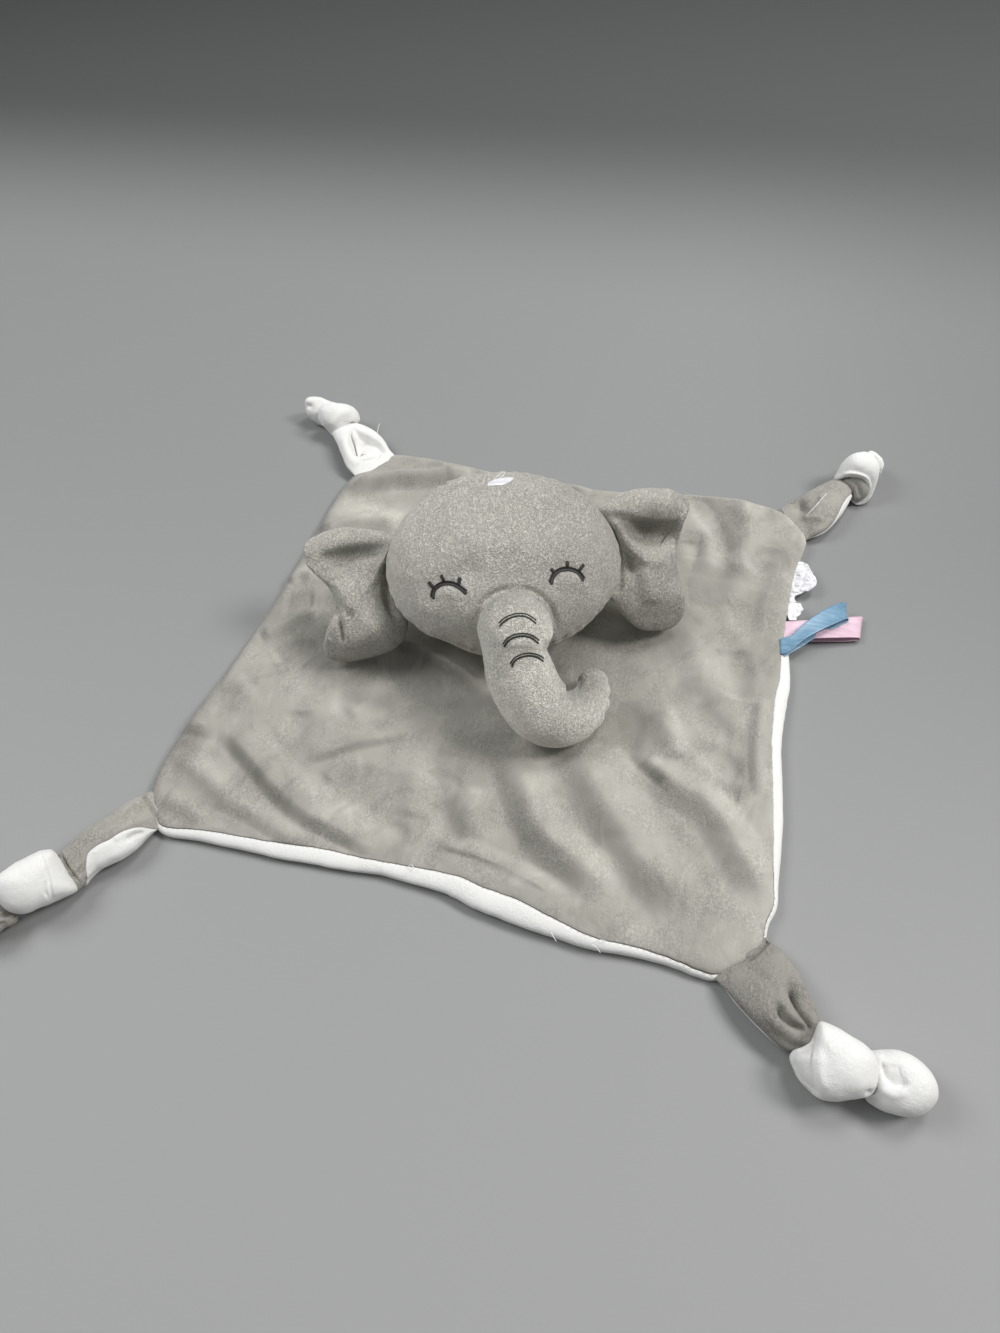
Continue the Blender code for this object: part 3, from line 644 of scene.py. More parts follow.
BELLY = along_rim(
    [(-122, 1.4), (-116, 1.8), (-111, 2.7), (-99, 3.3), (-90, 4.0), (-73, 4.6), (-57, 5.4), (-44, 5.9), (-32, 5.0),
     (-23, 4.1), (-15, 5.0), (-2, 5.8), (9, 7.0), (25, 7.6), (34, 7.4), (44, 6.0), (54, 4.2), (64, 3.0), (78, 2.6),
     (88, 1.8), (100, 1.4), (106, 1.3)],
    [(-112, 1.0), (-98, 1.6), (-87, 2.3), (-78, 3.2), (-62, 4.4), (-45, 4.6), (-26, 4.4), (-5, 5.6), (7, 5.2),
     (21, 4.0), (28, 2.8), (34, 0.6), (41, -0.9), (98, -0.9), (110, -0.9)],
    [(-116, -0.9), (118, -0.9)],
    [(-121, 0.9), (-114, -0.9), (110, -0.9)], 6)
SEAM_Z = along_rim(
    [(-122, 3.8), (-116, 4.4), (-99, 5.2), (-80, 5.4), (-30, 5.4), (-8, 5.8), (9, 6.8), (17, 7.4), (27, 7.6),
     (41, 7.0), (49, 6.6), (57, 6.2), (66, 5.6), (78, 4.9), (93, 4.4), (106, 3.8)],
    [(-112, 3.8), (-97, 4.3), (-80, 4.7), (-62, 5.2), (-45, 5.4), (-26, 5.2), (-5, 5.0), (20, 4.6), (110, 3.9)],
    [(-116, 2.8), (-80, 4.2), (-40, 3.6), (0, 3.0), (60, 3.0), (118, 2.8)],
    [(-121, 3.6), (-112, 2.6), (-60, 2.5), (20, 2.6), (70, 2.8), (110, 2.8)], 10)

# folds, seen from the camera: kind, points of the frame along the crest or trough, height mm, half widths mm.
# "g" is a rounded ridge or trough; "v" is a crease with a sharp bottom, its first width to the right of travel;
# "s" is a step up on the left of travel: its steep part's half width, then how far it takes to level out again.
FOLDS = [
    ("s", [(494, 735), (503, 763), (512, 795), (523, 825), (539, 850), (558, 868), (578, 886), (604, 913)], 5.2, 6.4, 12.0),
    ("s", [(556, 735), (570, 763), (584, 795), (599, 825), (614, 850), (631, 873), (650, 893), (682, 926)], 5.0, 7.4, 18.0),
    ("s", [(634, 764), (663, 791), (692, 806), (710, 823), (725, 849), (738, 872), (752, 908)], 4.2, 6.0, 11.0),
    ("v", [(618, 716), (626, 738), (633, 757), (650, 776), (667, 793)], -2.0, 2.6, 3.4),
    ("s", [(424, 836), (448, 852), (472, 862), (500, 874), (522, 885), (540, 895), (562, 910)], 2.6, 2.4, 7.0),
    ("s", [(214, 728), (236, 752), (256, 774), (276, 797), (299, 817), (322, 830), (345, 842), (382, 860)], 3.6, 3.4, 14.0),
    ("g", [(178, 744), (190, 753), (213, 769), (232, 790), (251, 801), (274, 815), (297, 830), (320, 839)], 1.6, 4.6),
    ("g", [(168, 790), (188, 801), (207, 813)], 1.6, 4.0),
    ("s", [(300, 762), (318, 757), (340, 750), (362, 744), (386, 739), (404, 733), (420, 722)], 2.6, 2.0, 9.0),
    ("g", [(330, 772), (345, 762), (368, 756)], 1.2, 4.5),
    ("g", [(298, 774), (315, 784), (332, 796)], 2.0, 5.0),
    ("g", [(424, 756), (424, 785), (419, 808)], 1.8, 6.0),
    ("g", [(474, 776), (478, 800), (488, 825), (500, 843)], 1.7, 6.0),
    ("g", [(444, 792), (454, 820), (462, 840)], -1.7, 5.2),
    ("g", [(396, 812), (410, 842), (420, 858)], -1.6, 4.4),
    ("g", [(350, 800), (362, 815), (376, 830)], 1.4, 5.0),
    ("g", [(206, 724), (220, 702), (240, 686), (264, 671)], 3.0, 8.0),
    ("g", [(280, 740), (298, 728), (305, 700)], -2.2, 5.5),
    ("g", [(340, 690), (372, 694), (404, 700)], -1.8, 6.0),
    ("g", [(352, 705), (380, 690), (410, 678)], 1.8, 5.0),
    ("s", [(346, 496), (368, 488), (396, 484), (420, 483), (445, 480), (476, 474)], 6.4, 5.4, 9.0),
    ("g", [(328, 522), (352, 515), (382, 512), (410, 514)], 3.8, 6.0),
    ("g", [(288, 593), (304, 592), (320, 590)], -2.6, 5.0),
    ("g", [(266, 628), (290, 618), (305, 610), (324, 606)], 3.4, 4.5),
    ("g", [(280, 650), (300, 641), (322, 643)], -3.4, 4.5),
    ("g", [(292, 574), (306, 566), (320, 570)], 2.2, 4.0),
    ("g", [(705, 486), (713, 502), (723, 524), (731, 548)], -3.8, 5.0),
    ("g", [(744, 486), (756, 510), (757, 530), (754, 550), (750, 570)], 3.8, 7.0),
    ("g", [(779, 536), (774, 557), (764, 582), (757, 602), (758, 622)], -4.2, 6.0),
    ("g", [(692, 556), (694, 534), (703, 524), (714, 528), (717, 545), (712, 566)], 2.0, 5.4),
    ("g", [(696, 534), (699, 551)], -1.2, 4.4),
    ("g", [(698, 585), (705, 628), (718, 660), (727, 692)], 2.8, 9.0),
    ("g", [(743, 640), (750, 664), (748, 690)], -2.8, 5.6),
    ("g", [(706, 696), (722, 712), (737, 730)], -2.0, 6.0),
    ("g", [(670, 696), (680, 725), (685, 752)], 2.8, 6.0),
    ("g", [(708, 740), (730, 753), (750, 768)], -2.8, 5.2),
    ("g", [(716, 777), (733, 784), (748, 789)], -1.6, 4.2),
    ("g", [(652, 752), (664, 767), (674, 777)], 2.0, 4.0),
    ("g", [(634, 690), (638, 720), (634, 745)], -1.8, 5.0),
    ("g", [(767, 690), (765, 740), (763, 790)], 2.2, 3.4),
    ("g", [(500, 470), (540, 474), (580, 480), (600, 486)], 3.0, 5.0),
    ("g", [(566, 498), (584, 502), (604, 506)], -3.0, 4.6),
    ("g", [(690, 484), (720, 484), (750, 488)], 2.2, 4.0),
]
FOLDS = [(k, np.array(trace([(x - 1.5 * w[0] * (k == "g"), y + 1.35 * w[0] * (k == "g"), 7.0) for x, y in pts])), a, *w) for k, pts, a, *w in FOLDS]
NECK = np.array([-6.92, 6.3])
CHIN = [((x, y), r, up) for (x, y), r, up in zip(spline(np.array(trace([(394, 636, 9), (408, 643, 9), (422, 649, 9), (436, 656, 9), (452, 664, 9), (468, 675, 9), (482, 690, 9)])), 22), [3.6] * 22,
                                                [0.5, 0.9, 1.3] + [1.75] * 15 + [1.5, 1.1, 0.7, 0.3])]

# low swells that the ears' lower ends lie on, and a shallow dip where the trunk passes when the head turns
MOUNDS = [((14.2, -56.4), 7.5, -0.9)] + [(q, rad, up) for q, rad, up in zip(trace([(338, 652, 9), (362, 656, 9), (384, 652, 9), (652, 624, 9)]), (9.0, 9.0, 7.0, 10.0), (1.9, 1.9, 1.2, 2.8))]


def relief(xy):
    """Height of the blanket's upper side, mm, over its flat middle."""
    p = np.c_[xy, np.zeros(len(xy))]
    w = np.stack([noise(p, 30.0, 11), noise(p, 30.0, 12)], 1) * 0.9
    q = xy + w
    h = np.full(len(xy), 5.5)
    for kind, points, amp, *half in FOLDS:
        c = spline(points, 26)
        a, b = c[:-1], c[1:]
        best, at, side = np.full(len(q), 1e9), np.zeros(len(q)), np.ones(len(q))
        for k in range(len(a)):
            d = b[k] - a[k]
            t = np.clip(((q - a[k]) @ d) / (d @ d), 0, 1)
            off = q - a[k] - t[:, None] * d
            e = np.sum(off ** 2, 1)
            near = e < best
            best[near] = e[near]
            at[near] = (k + t[near]) / len(a)
            side[near] = np.sign(d[0] * off[near, 1] - d[1] * off[near, 0])
        ends = step(at, -0.06, 0.16) * (1 - step(at, 0.84, 1.06)) if kind != "s" else step(at, 0.0, 0.2) * (1 - step(at, 0.8, 0.995))
        if kind == "g":
            h += amp * ends * np.exp(-best / half[0] ** 2)
        elif kind == "s":
            u = np.sqrt(best) * side
            h += amp * ends * step(u, -half[0], half[0]) * (1 - step(u, half[0] * 0.8, half[0] + half[1]))
        else:
            h += amp * ends * np.exp(-(np.sqrt(best + 0.5) - 0.7) / np.where(side < 0, half[0], half[1]))
    h += 0.45 * fbm(p, 32.0, 21, 2) + 0.12 * noise(p, 9.5, 31) + 0.05 * noise(p, 4.0, 32)
    # pressed down under the head, and kept low where the trunk swings
    r = xy - NECK
    dist = np.linalg.norm(r, axis=1)
    ang = np.degrees(np.arctan2(r[:, 1], r[:, 0]))
    swing = (1 - step(dist, 74, 92)) * step(ang, -128, -112) * (1 - step(ang, -24, -6))
    middle = 1 - step(dist, 30, 56)
    mid = 4.9 + 1.0 * np.tanh((h - 5.3) / 2.0)
    low = 4.9 + 2.4 * np.tanh((h - 5.9) / 3.4)
    h = h * (1 - swing) + low * swing
    h = h * (1 - middle) + mid * middle
    for (x, y), rad, up in CHIN:
        h += up * np.exp(-((xy[:, 0] - x) ** 2 + (xy[:, 1] - y) ** 2) / rad ** 2)
    for (x, y), rad, up in MOUNDS:
        h += up * np.exp(-((xy[:, 0] - x) ** 2 + (xy[:, 1] - y) ** 2) / rad ** 2)
    h = np.where(h > 9.5, 9.5 + 3.0 * np.tanh((h - 9.5) / 3.0), h)
    return np.where(h < 4.4, 3.0 + 1.4 * np.exp((h - 4.4) / 1.4), h)


flat = GRID.reshape(-1, 2)
tree = KDTree(len(RIM))
for k, (x, y) in enumerate(rim_xy):
    tree.insert((x, y, 0), k)
tree.balance()
near_rim = np.array([tree.find((x, y, 0))[1:] for x, y in flat])
DIN, NEAR = near_rim[:, 1], near_rim[:, 0].astype(int)
H = relief(flat)
arc = np.concatenate([[0], np.cumsum(np.linalg.norm(np.diff(rim_xy, axis=0), axis=1))])
pucker = (0.6 * noise(np.c_[arc, arc * 0, arc * 0], 7.0, 50) + 0.35 * noise(np.c_[arc, arc * 0, arc * 0], 3.2, 53)
          + 0.35 * np.sin(arc / 8.3 * 2 * math.pi + 3.5 * noise(np.c_[arc, arc * 0, arc * 0], 26.0, 51))
          * (0.5 + 0.5 * noise(np.c_[arc, arc * 0, arc * 0], 17.0, 52)))
roll = 5.2
zs = SEAM_Z[NEAR]
rise = np.sqrt(np.clip(1 - (1 - np.clip(DIN / roll, 0, 1)) ** 2, 0, 1))
top_z = zs + (np.maximum(H, zs + 0.5) * (1 - step(DIN, 5, 16)) + H * step(DIN, 5, 16) - zs) * rise
top_z += 0.28 * pucker[NEAR] * np.exp(-DIN / 3.5) * np.clip(DIN / 1.2, 0, 1)
shift = -OUT[NEAR] * (0.30 * pucker[NEAR] * np.exp(-DIN / 3.0))[:, None]
top_xy = flat + shift
rim_pts = np.c_[top_xy[RIM], top_z[RIM]]

top = mesh_object("blanket_top_velour", np.c_[top_xy, top_z] * MM, grid_faces(N + 1, N + 1), M_BLANKET, "blanket",
                  outward=(0, 0, 1))
m = top.modifiers.new("ply", "SOLIDIFY")
m.thickness, m.offset = 1.1 * MM, -1
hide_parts("blanket_top_panel")

# the backing: rolled up round the edge to the seam, flat underneath
K = 16
rings = []
side_pucker = 0.35 * pucker
for k in range(K + 1):
    a = math.pi * k / K
    o = BELLY * (math.sin(a) if a < math.pi / 2 else 0.45 + 0.55 * math.sin(a))
    o = o * (1 + 0.10 * pucker * math.sin(a)) + 0.12 * math.sin(a)
    z = rim_pts[:, 2] * (1 + math.cos(a)) / 2
    rings.append(np.c_[rim_pts[:, :2] + OUT * o[:, None], z])
LAP = np.clip(BELLY / 0.6, -1.0, 1.0)           # where it is negative the grey ply laps over the white one
rings[0] = rim_pts + np.c_[OUT * (0.10 * np.where(LAP < 0, 4 * LAP, LAP))[:, None], -0.05 * np.ones(len(RIM))]
last = rings[-1][:, :2]
q = N
f_c, r_c, b_c, l_c = last[:q + 1], last[q:2 * q + 1], last[2 * q:3 * q + 1][::-1], np.r_[last[3 * q:], last[:1]][::-1]
lin = np.linspace(0, 1, q + 1)
under = coons((f_c, r_c, b_c, l_c), S).reshape(-1, 2)
ub = np.concatenate([idx[0, :-1], idx[:-1, -1], idx[-1, :0:-1], idx[:0:-1, 0]])
nr = len(RIM)
verts = list(rings[:-1])
start = nr * K
under3 = np.c_[under, np.zeros(len(under))]
inner = np.ones(len(under), bool); inner[ub] = False
under3[inner, 2] = 0.25 * (1 + noise(under3[inner], 14.0, 61)) * step(DIN[inner], 1, 12)
verts = np.concatenate(verts + [under3])
faces = grid_faces(K, nr, wrap=True).tolist()
joined = start + ub
a = (K - 1) * nr + np.arange(nr)
faces += np.stack([a, np.roll(a, -1), np.roll(joined, -1), joined], 1).tolist()
faces += grid_faces(N + 1, N + 1, start=start, flip=True).tolist()
backing = mesh_object("blanket_backing_velour", verts * MM, faces, M_WHITE, "blanket")
m = backing.modifiers.new("ply", "SOLIDIFY")
m.thickness, m.offset = 1.0 * MM, -1
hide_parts("blanket_backing_panel")

# the seam's thread: a fine line of stitches sunk between the plies
seam_path = rim_pts + np.c_[OUT * (0.28 * LAP)[:, None], -0.22 - 0.2 * (LAP < 0)]
seam_path = seam_path + np.c_[OUT * 0.10, 0.10 * np.ones(len(RIM))] * np.sin(arc * 2 * math.pi / 2.4)[:, None]
nxt = unit(np.roll(seam_path, -1, 0) - np.roll(seam_path, 1, 0))
sd_ = unit(np.cross(nxt, Z))
up_ = np.cross(sd_, nxt)
a8 = np.linspace(0, 2 * math.pi, 8, endpoint=False)
tube = (seam_path[:, None] + 0.2 * (np.cos(a8)[None, :, None] * sd_[:, None] + np.sin(a8)[None, :, None] * up_[:, None])).reshape(-1, 3)
nr8 = len(RIM)
tf8 = [[i * 8 + j, ((i + 1) % nr8) * 8 + j, ((i + 1) % nr8) * 8 + (j + 1) % 8, i * 8 + (j + 1) % 8]
       for i in range(nr8) for j in range(8)]
seam_thread = mesh_object("blanket_seam_stitching", tube * MM, tf8, M_PALE, "blanket")
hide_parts("blanket_edge_seam_thread")

# ================================================================ head
HEAD = (Matrix.Translation(Vector((-10.0, 14.5, 40.5)) * MM) @ Matrix.Rotation(math.radians(20.6), 4, "Z")
        @ Matrix.Rotation(math.radians(20.0), 4, "X"))
HM = np.array(HEAD)
HR, HT = HM[:3, :3], HM[:3, 3]
HALF = np.array([51.5, 42.5, 30.5])


def world(p):
    return (np.asarray(p) * MM) @ HR.T + HT


def local(p):
    return ((np.asarray(p) - HT) @ HR) / MM


def seam_level(d):
    """Where the side seam runs: higher over the crown than at the chin."""
    return 0.5 + 10.5 * step(d[:, 1], 0.35, 1.0)


rows, cols = 200, 320
th = np.linspace(0, math.pi, rows)[1:-1]
ph = np.linspace(0, 2 * math.pi, cols, endpoint=False)
TH, PH = np.meshgrid(th, ph, indexing="ij")
d = np.stack([np.cos(TH), np.sin(TH) * np.cos(PH), np.sin(TH) * np.sin(PH)], -1).reshape(-1, 3)
d = np.concatenate([d, [[1, 0, 0], [-1, 0, 0]]])
p = d * HALF
n = unit(d / HALF)
lev = seam_level(d)
gap = p[:, 2] - lev
bumps = 0.45 * fbm(p, 26.0, 71, 3) + 0.12 * noise(p, 5.0, 74) + 0.05 * noise(p, 1.6, 75)
around = np.degrees(np.arctan2(p[:, 1], p[:, 0]))
bumps -= 1.1 * np.exp(-(gap / 1.1) ** 2)
bumps += 0.35 * np.exp(-(gap / 4.0) ** 2) * np.sin(np.radians(around) * 44 + 1.5 * noise(p, 14.0, 76))
# the face is pulled in a little round the stitched eyes and the trunk, and along the brow dart
for sx in (-1, 1):
    e = p - np.array([sx * 24.0, -18.5, 21.0])
    bumps -= 1.3 * np.exp(-(e[:, 0] ** 2 / 110 + e[:, 1] ** 2 / 40)) * (p[:, 2] > 0)
    e2 = p - np.array([sx * 14.0, -30.0, 20.0])
    bumps += 0.9 * np.exp(-np.sum(e2 ** 2, 1) / 90)
bumps -= 0.5 * np.exp(-((p[:, 0] + 2.0) / 1.6) ** 2) * step(p[:, 1], 2, 14) * (1 - step(p[:, 1], 26, 32)) * (p[:, 2] > 0)
p = p + n * bumps[:, None]
faces = grid_faces(rows - 2, cols, wrap=True).tolist()
c = (rows - 2) * cols
faces += [[c, (j + 1) % cols, j] for j in range(cols)]
faces += [[c + 1, (rows - 3) * cols + j, (rows - 3) * cols + (j + 1) % cols] for j in range(cols)]
head = mesh_object("head_velour", world(p), faces, M_HEAD, "head")
nudge(head, ((442, 650), (34, 16), (0, -6.5)), ((405, 632), (16, 14), (2, -3)), ((617, 575), (14, 34), (2.0, 0)))
carve(head,
      ("line", [(404, 522), (418, 508), (438, 496), (458, 488), (480, 482.5), (500, 482)], 2.0, -1.4),
      ("line", [(396, 520), (412, 503), (436, 489), (460, 481), (484, 477)], 3.4, 1.3),
      ("line", [(497, 486), (495, 500), (494, 522)], 1.8, -0.5),
      ("spot", (469, 570), (13, 13), -1.9), ("spot", (449, 593), (14, 8), 1.2), ("spot", (567, 581), (14, 8), 1.2),
      ("line", [(432.5, 601), (433.8, 592.5), (437.5, 587), (443, 584), (449, 583.4), (455, 585), (461, 589), (468, 595)], 2.4, -0.7),
      ("line", [(550.8, 586), (552.2, 579), (556, 573.2), (561, 570), (567, 569.2), (573, 570.2), (578.6, 573.6), (582, 578), (584, 582)], 2.4, -0.7),
      ("line", [(476, 622), (480, 606), (492, 594), (508, 589)], 2.4, -1.2), ("line", [(522, 588), (536, 592), (548, 602), (555, 616), (557, 630)], 2.6, -1.5),
      ("line", [(500, 590), (514, 588), (530, 590)], 2.0, -0.5),
      ("spot", (420, 610), (18, 14), 0.8), ("spot", (590, 600), (14, 16), 0.6), ("spot", (520, 545), (40, 22), 0.5))
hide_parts("head_front_panel", "head_back_panel", "head_stuffing", "head_side_seam_thread")

# ================================================================ trunk
def at_depth(px, py, half, z):
    """A round section seen at (px, py) with that half width in the frame, its centre z mm over the floor."""
    c = level(px, py, z)
    return [*(c / MM), half / F_PX * ((c - EYE) @ FWD) / MM]


TRUNK = [at_depth(*q) for q in (
    (515.0, 634, 26, 39.0), (515.0, 631, 32, 45.0), (515.0, 627.5, 37.0, 50.0), (514.8, 629.5, 38.6, 50.4), (514.2, 638, 36.0, 47.6),
    (514.3, 651, 32.0, 43.4), (519.5, 672, 34.4, 35.0),
    (530.5, 696, 34.4, 25.8), (543.5, 711.0, 34.2, 19.8), (557.5, 717.6, 30.8, 17.4), (571.5, 716.4, 27.0, 16.2),
    (583.0, 708.8, 22.8, 14.8), (589.8, 699.0, 19.2, 13.8), (593.0, 690.0, 16.8, 13.0), (593.2, 683.5, 15.4, 12.6))]
tp = spline(TRUNK, 150)
for _ in range(6):
    tp[1:-1] = (tp[:-2] + 2 * tp[1:-1] + tp[2:]) / 4
ends = unit(tp[-1, :3] - tp[-5, :3])
cap = np.linspace(0, 1, 15)[1:] * 0.985
cap_pts = np.c_[tp[-1, :3] + ends * (np.sin(cap * math.pi / 2) * tp[-1, 3])[:, None], tp[-1, 3] * np.cos(cap * math.pi / 2)]
tp = np.r_[tp, cap_pts]
path = tp[:, :3]
A = 96
ang = np.linspace(0, 2 * math.pi, A, endpoint=False)
tan_t, side_t, up_t = frames(path, BACK)
rings = []
s_along = np.concatenate([[0], np.cumsum(np.linalg.norm(np.diff(path, axis=0), axis=1))])
for i in range(len(path)):
    r = tp[i, 3]
    ca, sa = np.cos(ang), np.sin(ang)
    ring = path[i] + r * (ca[:, None] * side_t[i] + 0.98 * sa[:, None] * up_t[i])
    rings.append(ring)
tv = np.concatenate(rings)
cen = np.repeat(path, A, 0)
nn = unit(tv - cen)
aa = np.tile(ang, len(path))
ss = np.repeat(s_along, A)
rr = np.repeat(tp[:, 3], A)
for seam_a in (math.radians(-14), math.radians(194)):
    da = np.angle(np.exp(1j * (aa - seam_a))) * rr
    amt = step(ss, 14, 24) * (1 - step(ss, s_along[-1] - 4, s_along[-1]))
    tv = tv - nn * (0.75 * np.exp(-(da / 0.9) ** 2) * amt)[:, None]
    tv = tv + nn * (0.22 * np.exp(-(da / 3.0) ** 2) * np.sin(ss * 1.35 + 2 * noise(np.c_[ss, ss * 0, ss * 0], 8.0, 83)) * amt)[:, None]
tv = tv + nn * (0.35 * fbm(tv, 16.0, 81, 3) + 0.05 * noise(tv, 1.6, 85))[:, None]
# soft creases inside the bend
bend = np.exp(-((ss - 78) / 9) ** 2)
tv = tv - nn * (0.7 * bend * np.exp(-(np.angle(np.exp(1j * (aa - math.radians(20)))) * rr / 7) ** 2)
                * np.cos(ss * 1.0))[:, None]
tf = grid_faces(len(path), A, wrap=True).tolist()
nv = len(tv)
tv = np.concatenate([tv, path[:1], path[-1:]])
tf += [[nv, (j + 1) % A, j] for j in range(A)]
tf += [[nv + 1, nv - A + j, nv - A + (j + 1) % A] for j in range(A)]
tv[:, 2] = np.maximum(tv[:, 2], 5.2)
trunk = mesh_object("trunk_velour", tv * MM, tf, M_TRUNK, "trunk")
carve(trunk,
      ("line", [(553, 626), (545, 636), (547, 652)], 4.0, -0.9), ("line", [(477, 632), (483, 644), (484, 660)], 4.0, -0.6),
      ("spot", (576, 684), (5, 5), -1.6), ("line", [(578, 684), (584, 677), (592, 674)], 2.0, -0.5),
      ("line", [(500, 714), (516, 731), (536, 741), (556, 744)], 2.0, -0.4), ("spot", (512, 602), (22, 9), 0.6),
      ("line", [(500, 629), (518, 622), (538, 628)], 5.0, 0.5), ("line", [(505, 650), (521, 642), (540, 648)], 5.0, 0.5))
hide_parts("trunk_cover", "trunk_stuffing")

# ================================================================ ears
# outline as the eye sees it, with how far each point stands off the ear's plane (mm)
EARS = {
    "right": (1, [(600, 508, -2), (610, 501, -3), (619, 497, -5), (630, 493, -6), (641, 491, -6.5), (653, 490.5, -6.5),
                  (666, 491, -6), (677, 492.5, -5), (684, 496, -4), (688, 501, -3), (689, 508, -1), (686, 516, 0),
                  (683, 526, -1), (679.5, 538, -2), (676.5, 552, -2), (676.5, 565, -2), (679.5, 580, -3), (683, 594, -3),
                  (684.5, 605, -3), (683, 616, -4), (676, 625, -5), (666, 630, -5.5), (655, 631, -5.5), (642, 630, -5),
                  (632, 624, -4.5), (621, 613, -4), (612, 602, -3), (605, 590, -8), (602, 566, -10), (601, 540, -8), (599, 520, -4)],
              (648, 560)),
    "left": (-1, [(399, 537, -2), (394, 535.5, -3), (386, 533, -4), (376, 530.5, -5.5), (364, 528.5, -6.5), (352, 528, -6.5),
                  (341, 528.5, -6.5), (330, 531, -6), (318, 535, -4.5), (309, 539.5, -3), (304.5, 545.5, -1), (304, 554, 0), (306, 564, 1),
                  (315, 574, 1), (323, 581, 0), (330, 590, -1), (335, 601, -2), (335, 612, -2.5), (331, 624, -2.5), (326.5, 636, -2.5),
                  (323.5, 647, -3), (326, 655, -4), (333, 660, -5), (345, 661.5, -5), (357, 660.5, -5), (369, 658, -5),
                  (381, 654.5, -4.5), (391, 650.5, -4), (399, 645, -4), (406, 636, -4), (408, 620, -8), (404, 600, -10), (402, 575, -9), (402, 553, -6)],
             (362, 600)),
}
DROOP, TWIST = math.radians(12.0), math.radians(18.0)


EAR_STROKES = {
    "right": [("spot", (647, 533), (26, 13), -4.6, 10),
              ("step", [(682, 519), (662, 520), (640, 519), (622, 516), (602, 512)], 6.5, 3.2, 40),
              ("line", [(603, 520), (612, 540), (618, 560), (619, 580), (614, 598)], 5.0, -2.0),
              ("line", [(607, 514), (619, 530), (632, 548), (646, 560), (668, 566)], 6.0, 1.8),
              ("spot", (630, 568), (10, 9), -1.8), ("spot", (671, 583), (7, 10), -1.6),
              ("line", [(644, 566), (650, 584), (652, 606)], 8.0, 1.0), ("line", [(680, 580), (682, 600), (679, 618)], 3.0, 0.6)],
    "left": [("spot", (358, 555), (30, 8), -2.2, -5),
             ("step", [(394, 542), (372, 545), (346, 549), (318, 555)], 8.0, 1.6, 36),
             ("line", [(396, 546), (391, 566), (389, 588), (391, 606), (400, 622)], 4.0, -2.0),
             ("cut", [(336, 610), (339, 618), (342, 628), (344, 638)], 2.4, -1.5),
             ("line", [(341, 612), (346, 624), (349, 638)], 2.6, 0.7), ("line", [(333, 615), (330, 630), (328, 646)], 2.6, 0.9),
             ("line", [(336, 602), (344, 611), (356, 618)], 5.0, -0.8),
             ("line", [(322, 566), (336, 580), (348, 600), (366, 622), (384, 640)], 7.0, 1.0),
             ("spot", (372, 590), (9, 18), 0.8),
             ("line", [(388, 562), (383, 580), (386, 598), (392, 612)], 3.4, -1.4), ("spot", (356, 640), (20, 11), 1.6),
             ("line", [(352, 530), (366, 530), (378, 533), (390, 541)], 1.3, -0.6)],
}


